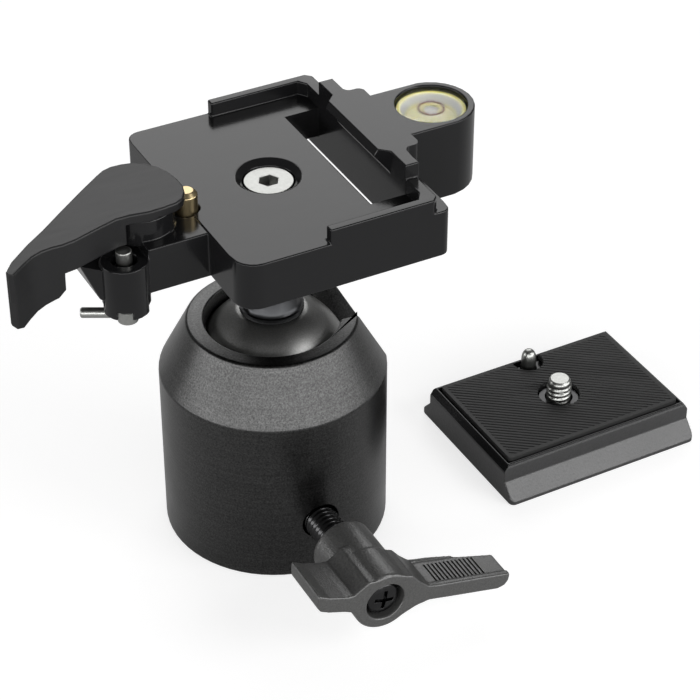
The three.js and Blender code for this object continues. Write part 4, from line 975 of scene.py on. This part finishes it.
class BALLHEAD_OT_plate(bpy.types.Operator):
    """Makes the loose camera plate with its ribbed pad, its screw and its sprung pin"""

    bl_idname = "ballhead.plate"
    bl_label = "Camera plate"

    def execute(self, context):
        self.make_body()
        self.make_pad()
        # Painted shade: the clip sits in a shaded recess, and the darker black steel finish given to it in
        # place of its own stands in for that shade.
        plain("screw_clip", slot="black_steel")
        plain("screw_ring", WIRE_ANGLE)
        self.make_video_pin()
        self.round_screw_tip()
        plain("video_spring", WIRE_ANGLE)
        dressed("pin_cap", sizes().small_edge)
        return {"FINISHED"}

    def make_body(self):
        """The plate's casting; its sides, where the clamp grips, keep the rougher cast surface."""
        piece = dressed("plate_body", sizes().plate_edge)
        piece.data.materials.append(finish_for("cast"))
        pad_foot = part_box("plate_pad")[0][2]
        for face in piece.data.polygons:
            if abs(face.normal.z) < 0.8 and face.center.z < pad_foot:
                face.material_index = 1

    def make_video_pin(self):
        """The sprung pin with its flange and a bullet-shaped tip."""
        low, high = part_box("video_pin")
        flange = (high[0] - low[0]) / 2
        radius, tip, fullness = sizes().pin_radius, sizes().pin_tip, sizes().pin_fullness
        shoulder = low[2] + sizes().pin_flange
        profile = [(0, low[2]), (flange, low[2]), (flange, shoulder), (radius, shoulder)]
        steps = 12
        for step in range(steps + 1):
            turn = math.radians(90 * step / steps)
            profile.append((radius * math.cos(turn) ** fullness, high[2] - tip + tip * math.sin(turn)))
        profile[-1] = (0, high[2])
        piece = turned("video_pin_piece", profile, middle("video_pin"), steps=48)
        install(piece, "video_pin")

    def round_screw_tip(self):
        """The camera screw, whose thread ends below a plain, rounded tip."""
        piece = copy_of("camera_screw", "camera_screw_piece")
        low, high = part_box("camera_screw")
        axis = middle("camera_screw")
        tip, least = sizes().screw_tip, sizes().screw_tip_radius
        for corner in piece.data.vertices:
            rise = (corner.co.z - (high[2] - tip)) / tip
            if rise > 0:
                off = Vector((corner.co.x - axis.x, corner.co.y - axis.y, 0))
                most = least * (1 - sizes().screw_taper * rise ** 4)
                if off.length > most:
                    off *= most / off.length
                    corner.co.x, corner.co.y = axis.x + off.x, axis.y + off.y
        smoothed(piece, 26)
        install(piece, "camera_screw")

    def make_pad(self):
        """The pad, with the grooves between its ribs cut out of it inside a plain border."""
        grooves = self.pad_grooves()
        boolean(grooves, self.pad_field(), "INTERSECT")
        piece = copy_of("plate_pad", "plate_pad_piece")
        weigh_edges(piece, sizes().small_edge, EDGE_ANGLE)
        ease_edges(piece, sizes().small_edge)
        bevelled(piece, sizes().small_edge)
        boolean(piece, grooves, "DIFFERENCE")
        smoothed(piece)
        flat_faced(piece)
        install(piece, "plate_pad")

    def pad_top(self):
        """The middle of the pad's top, and the size of the pad's box."""
        low, high = (Vector(corner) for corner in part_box("plate_pad"))
        centre = (low + high) / 2
        return Vector((centre.x, centre.y, high.z)), high - low

    def pad_grooves(self):
        """One groove, narrower at its foot, repeated across the pad and well past its edges."""
        top, span = self.pad_top()
        pitch, depth = sizes().rib_pitch, sizes().rib_height
        deselect_all()
        bpy.ops.mesh.primitive_cube_add(size=1, location=(0, 0, 0))
        grooves = bpy.context.object
        grooves.name = "pad_grooves"
        grooves.data.transform(Matrix.Diagonal((span.x * 1.6, pitch * sizes().groove_share, depth * 2, 1)))
        for corner in grooves.data.vertices:
            if corner.co.z < 0:
                corner.co.y *= sizes().foot_share
        count = int(span.x * 1.4 / pitch)
        grooves.data.transform(Matrix.Translation((0, -pitch * (count - 1) / 2, 0)))
        repeat = grooves.modifiers.new("Grooves", "ARRAY")
        repeat.count = count
        repeat.use_relative_offset = False
        repeat.use_constant_offset = True
        repeat.constant_offset_displace = (0, pitch, 0)
        apply_all(grooves)
        grooves.data.transform(Matrix.Translation(top) @ Matrix.Rotation(sizes().rib_angle, 4, "Z"))
        return grooves

    def pad_field(self):
        """A tall block over the pad that leaves out its plain border."""
        top, span = self.pad_top()
        lost = sizes().plate_slack + sizes().rib_border * 2
        deselect_all()
        bpy.ops.mesh.primitive_cube_add(size=1, location=(0, 0, 0))
        field = bpy.context.object
        turn = Matrix.Rotation(sizes().plate_turn, 4, "Z")
        inner = Matrix.Diagonal((span.x - lost, span.y - lost, span.x, 1))
        field.data.transform(Matrix.Translation(top) @ turn @ inner)
        return field


# The stage


def direction(azimuth, elevation):
    """The unit vector in which a camera at that azimuth and elevation looks."""
    level = math.cos(elevation)
    return Vector((math.sin(azimuth) * level, math.cos(azimuth) * level, -math.sin(elevation)))


def seen_share(tree, mirrored):
    """1 for camera rays, the mirrored share for glossy and transmission rays, else 0."""
    path = tree.nodes.new("ShaderNodeLightPath").outputs
    bent = math_node(tree, "MAXIMUM", path["Is Glossy Ray"], path["Is Transmission Ray"])
    return math_node(tree, "ADD", path["Is Camera Ray"], math_node(tree, "MULTIPLY", bent, mirrored))


class BALLHEAD_OT_stage(bpy.types.Operator):
    """Sets the floor, the lamps, the world and the camera at the photograph's viewing angle"""

    bl_idname = "ballhead.stage"
    bl_label = "Stage"

    def execute(self, context):
        self.settings = getattr(context.scene, STAGE)
        context.scene.view_settings.view_transform = "Standard"
        self.make_camera(context)
        self.make_floor()
        self.make_world(context)
        self.make_lamps()
        return {"FINISHED"}

    def make_camera(self, context):
        look = direction(self.settings.azimuth, self.settings.elevation)
        data = bpy.data.cameras.new("Camera")
        data.sensor_fit = "HORIZONTAL"
        data.sensor_width = SENSOR_WIDTH
        data.lens = self.settings.focal_pixels / PHOTO_WIDTH * SENSOR_WIDTH
        data.clip_start = 0.01
        data.clip_end = 50
        camera = bpy.data.objects.new("Camera", data)
        camera.location = Vector(self.settings.target) - look * self.settings.distance
        camera.rotation_euler = look.to_track_quat("-Z", "Y").to_euler()
        context.collection.objects.link(camera)
        context.scene.camera = camera

    def make_floor(self):
        deselect_all()
        bpy.ops.mesh.primitive_plane_add(size=12, location=(0, 0, 0))
        floor = bpy.context.object
        floor.name = "floor"
        material, tree, shader, _ = new_material("floor_paper", self.settings.floor_colour, 0, 0.9, 0.1)
        shader.inputs["Emission Color"].default_value = (1, 1, 1, 1)
        seen = seen_share(tree, self.settings.mirrored_share)
        glow = math_node(tree, "MULTIPLY", seen, self.settings.floor_glow)
        tree.links.new(glow, shader.inputs["Emission Strength"])
        floor.data.materials.append(material)

    def make_world(self, context):
        world = bpy.data.worlds.new("Studio")
        world.use_nodes = True
        context.scene.world = world
        tree = world.node_tree
        background = tree.nodes["Background"]
        background.inputs["Color"].default_value = (1, 1, 1, 1)
        path = tree.nodes.new("ShaderNodeLightPath").outputs
        shown = math_node(tree, "MULTIPLY", path["Is Camera Ray"], 1 - self.settings.world_level)
        strength = math_node(tree, "ADD", shown, self.settings.world_level)
        tree.links.new(strength, background.inputs["Strength"])

    def make_lamps(self):
        """Soft boxes, each with its azimuth, elevation, distance, size and radiance: one behind and above that
        the decks mirror, one on each side, one in front and one overhead."""
        aim = Vector((0.02, 0, 0.05))
        self.soft_box("Back box", 26, -36, 1.5, (1.3, 0.8), 2.4, aim)
        self.soft_box("Left box", 92, 11, 1.5, (2.0, 0.5), 4.2, aim)
        self.soft_box("Front box", 25, 17, 1.5, (2.0, 0.5), 4.6, aim)
        self.soft_box("Right box", -42, 13, 1.5, (2.0, 0.5), 4.2, aim)
        self.soft_box("Top box", -36, 36, 1.4, (0.7, 0.4), 5.0, aim)

    def soft_box(self, name, azimuth, elevation, distance, size, radiance, aim):
        """A soft box of that radiance. It stands where a camera looking at azimuth would stand; a negative
        elevation puts it on the far side."""
        look = direction(math.radians(azimuth), math.radians(elevation))
        place = aim - look * distance if elevation > 0 else aim + look * distance
        data = bpy.data.lights.new(name, "AREA")
        data.shape = "RECTANGLE"
        data.size, data.size_y = size
        data.energy = radiance * math.pi * size[0] * size[1]
        lamp = bpy.data.objects.new(name, data)
        lamp.location = place
        lamp.rotation_euler = (aim - place).to_track_quat("-Z", "Y").to_euler()
        bpy.context.collection.objects.link(lamp)


class BALLHEAD_PT_panel(bpy.types.Panel):
    """Lists the makers of the ball head's pieces"""

    bl_idname = "BALLHEAD_PT_panel"
    bl_label = "Ball head"
    bl_space_type = "VIEW_3D"
    bl_region_type = "UI"
    bl_category = "Ball head"

    def draw(self, context):
        for group in (SIZES, COLOURS, STAGE):
            settings = getattr(context.scene, group)
            box = self.layout.box()
            for name in settings.__annotations__:
                box.prop(settings, name)
        for operator in OPERATORS:
            self.layout.operator(operator.bl_idname)


OPERATORS = (
    BALLHEAD_OT_stage,
    BALLHEAD_OT_housing,
    BALLHEAD_OT_ball,
    BALLHEAD_OT_casting,
    BALLHEAD_OT_lever,
    BALLHEAD_OT_lock,
    BALLHEAD_OT_level,
    BALLHEAD_OT_clamping_lever,
    BALLHEAD_OT_plate,
)
CLASSES = (BALLHEAD_PG_sizes, BALLHEAD_PG_colours, BALLHEAD_PG_stage, *OPERATORS, BALLHEAD_PT_panel)


def register():
    for item in CLASSES:
        bpy.utils.register_class(item)
    setattr(bpy.types.Scene, SIZES, PointerProperty(type=BALLHEAD_PG_sizes))
    setattr(bpy.types.Scene, COLOURS, PointerProperty(type=BALLHEAD_PG_colours))
    setattr(bpy.types.Scene, STAGE, PointerProperty(type=BALLHEAD_PG_stage))


def unregister():
    for group in (SIZES, COLOURS, STAGE):
        delattr(bpy.types.Scene, group)
    for item in reversed(CLASSES):
        bpy.utils.unregister_class(item)


def main():
    register()
    bpy.ops.ballhead.stage()
    bpy.ops.ballhead.housing()
    bpy.ops.ballhead.ball()
    bpy.ops.ballhead.casting()
    bpy.ops.ballhead.lever()
    bpy.ops.ballhead.lock()
    bpy.ops.ballhead.level()
    bpy.ops.ballhead.clamping_lever()
    bpy.ops.ballhead.plate()


if __name__ == "__main__":
    main()
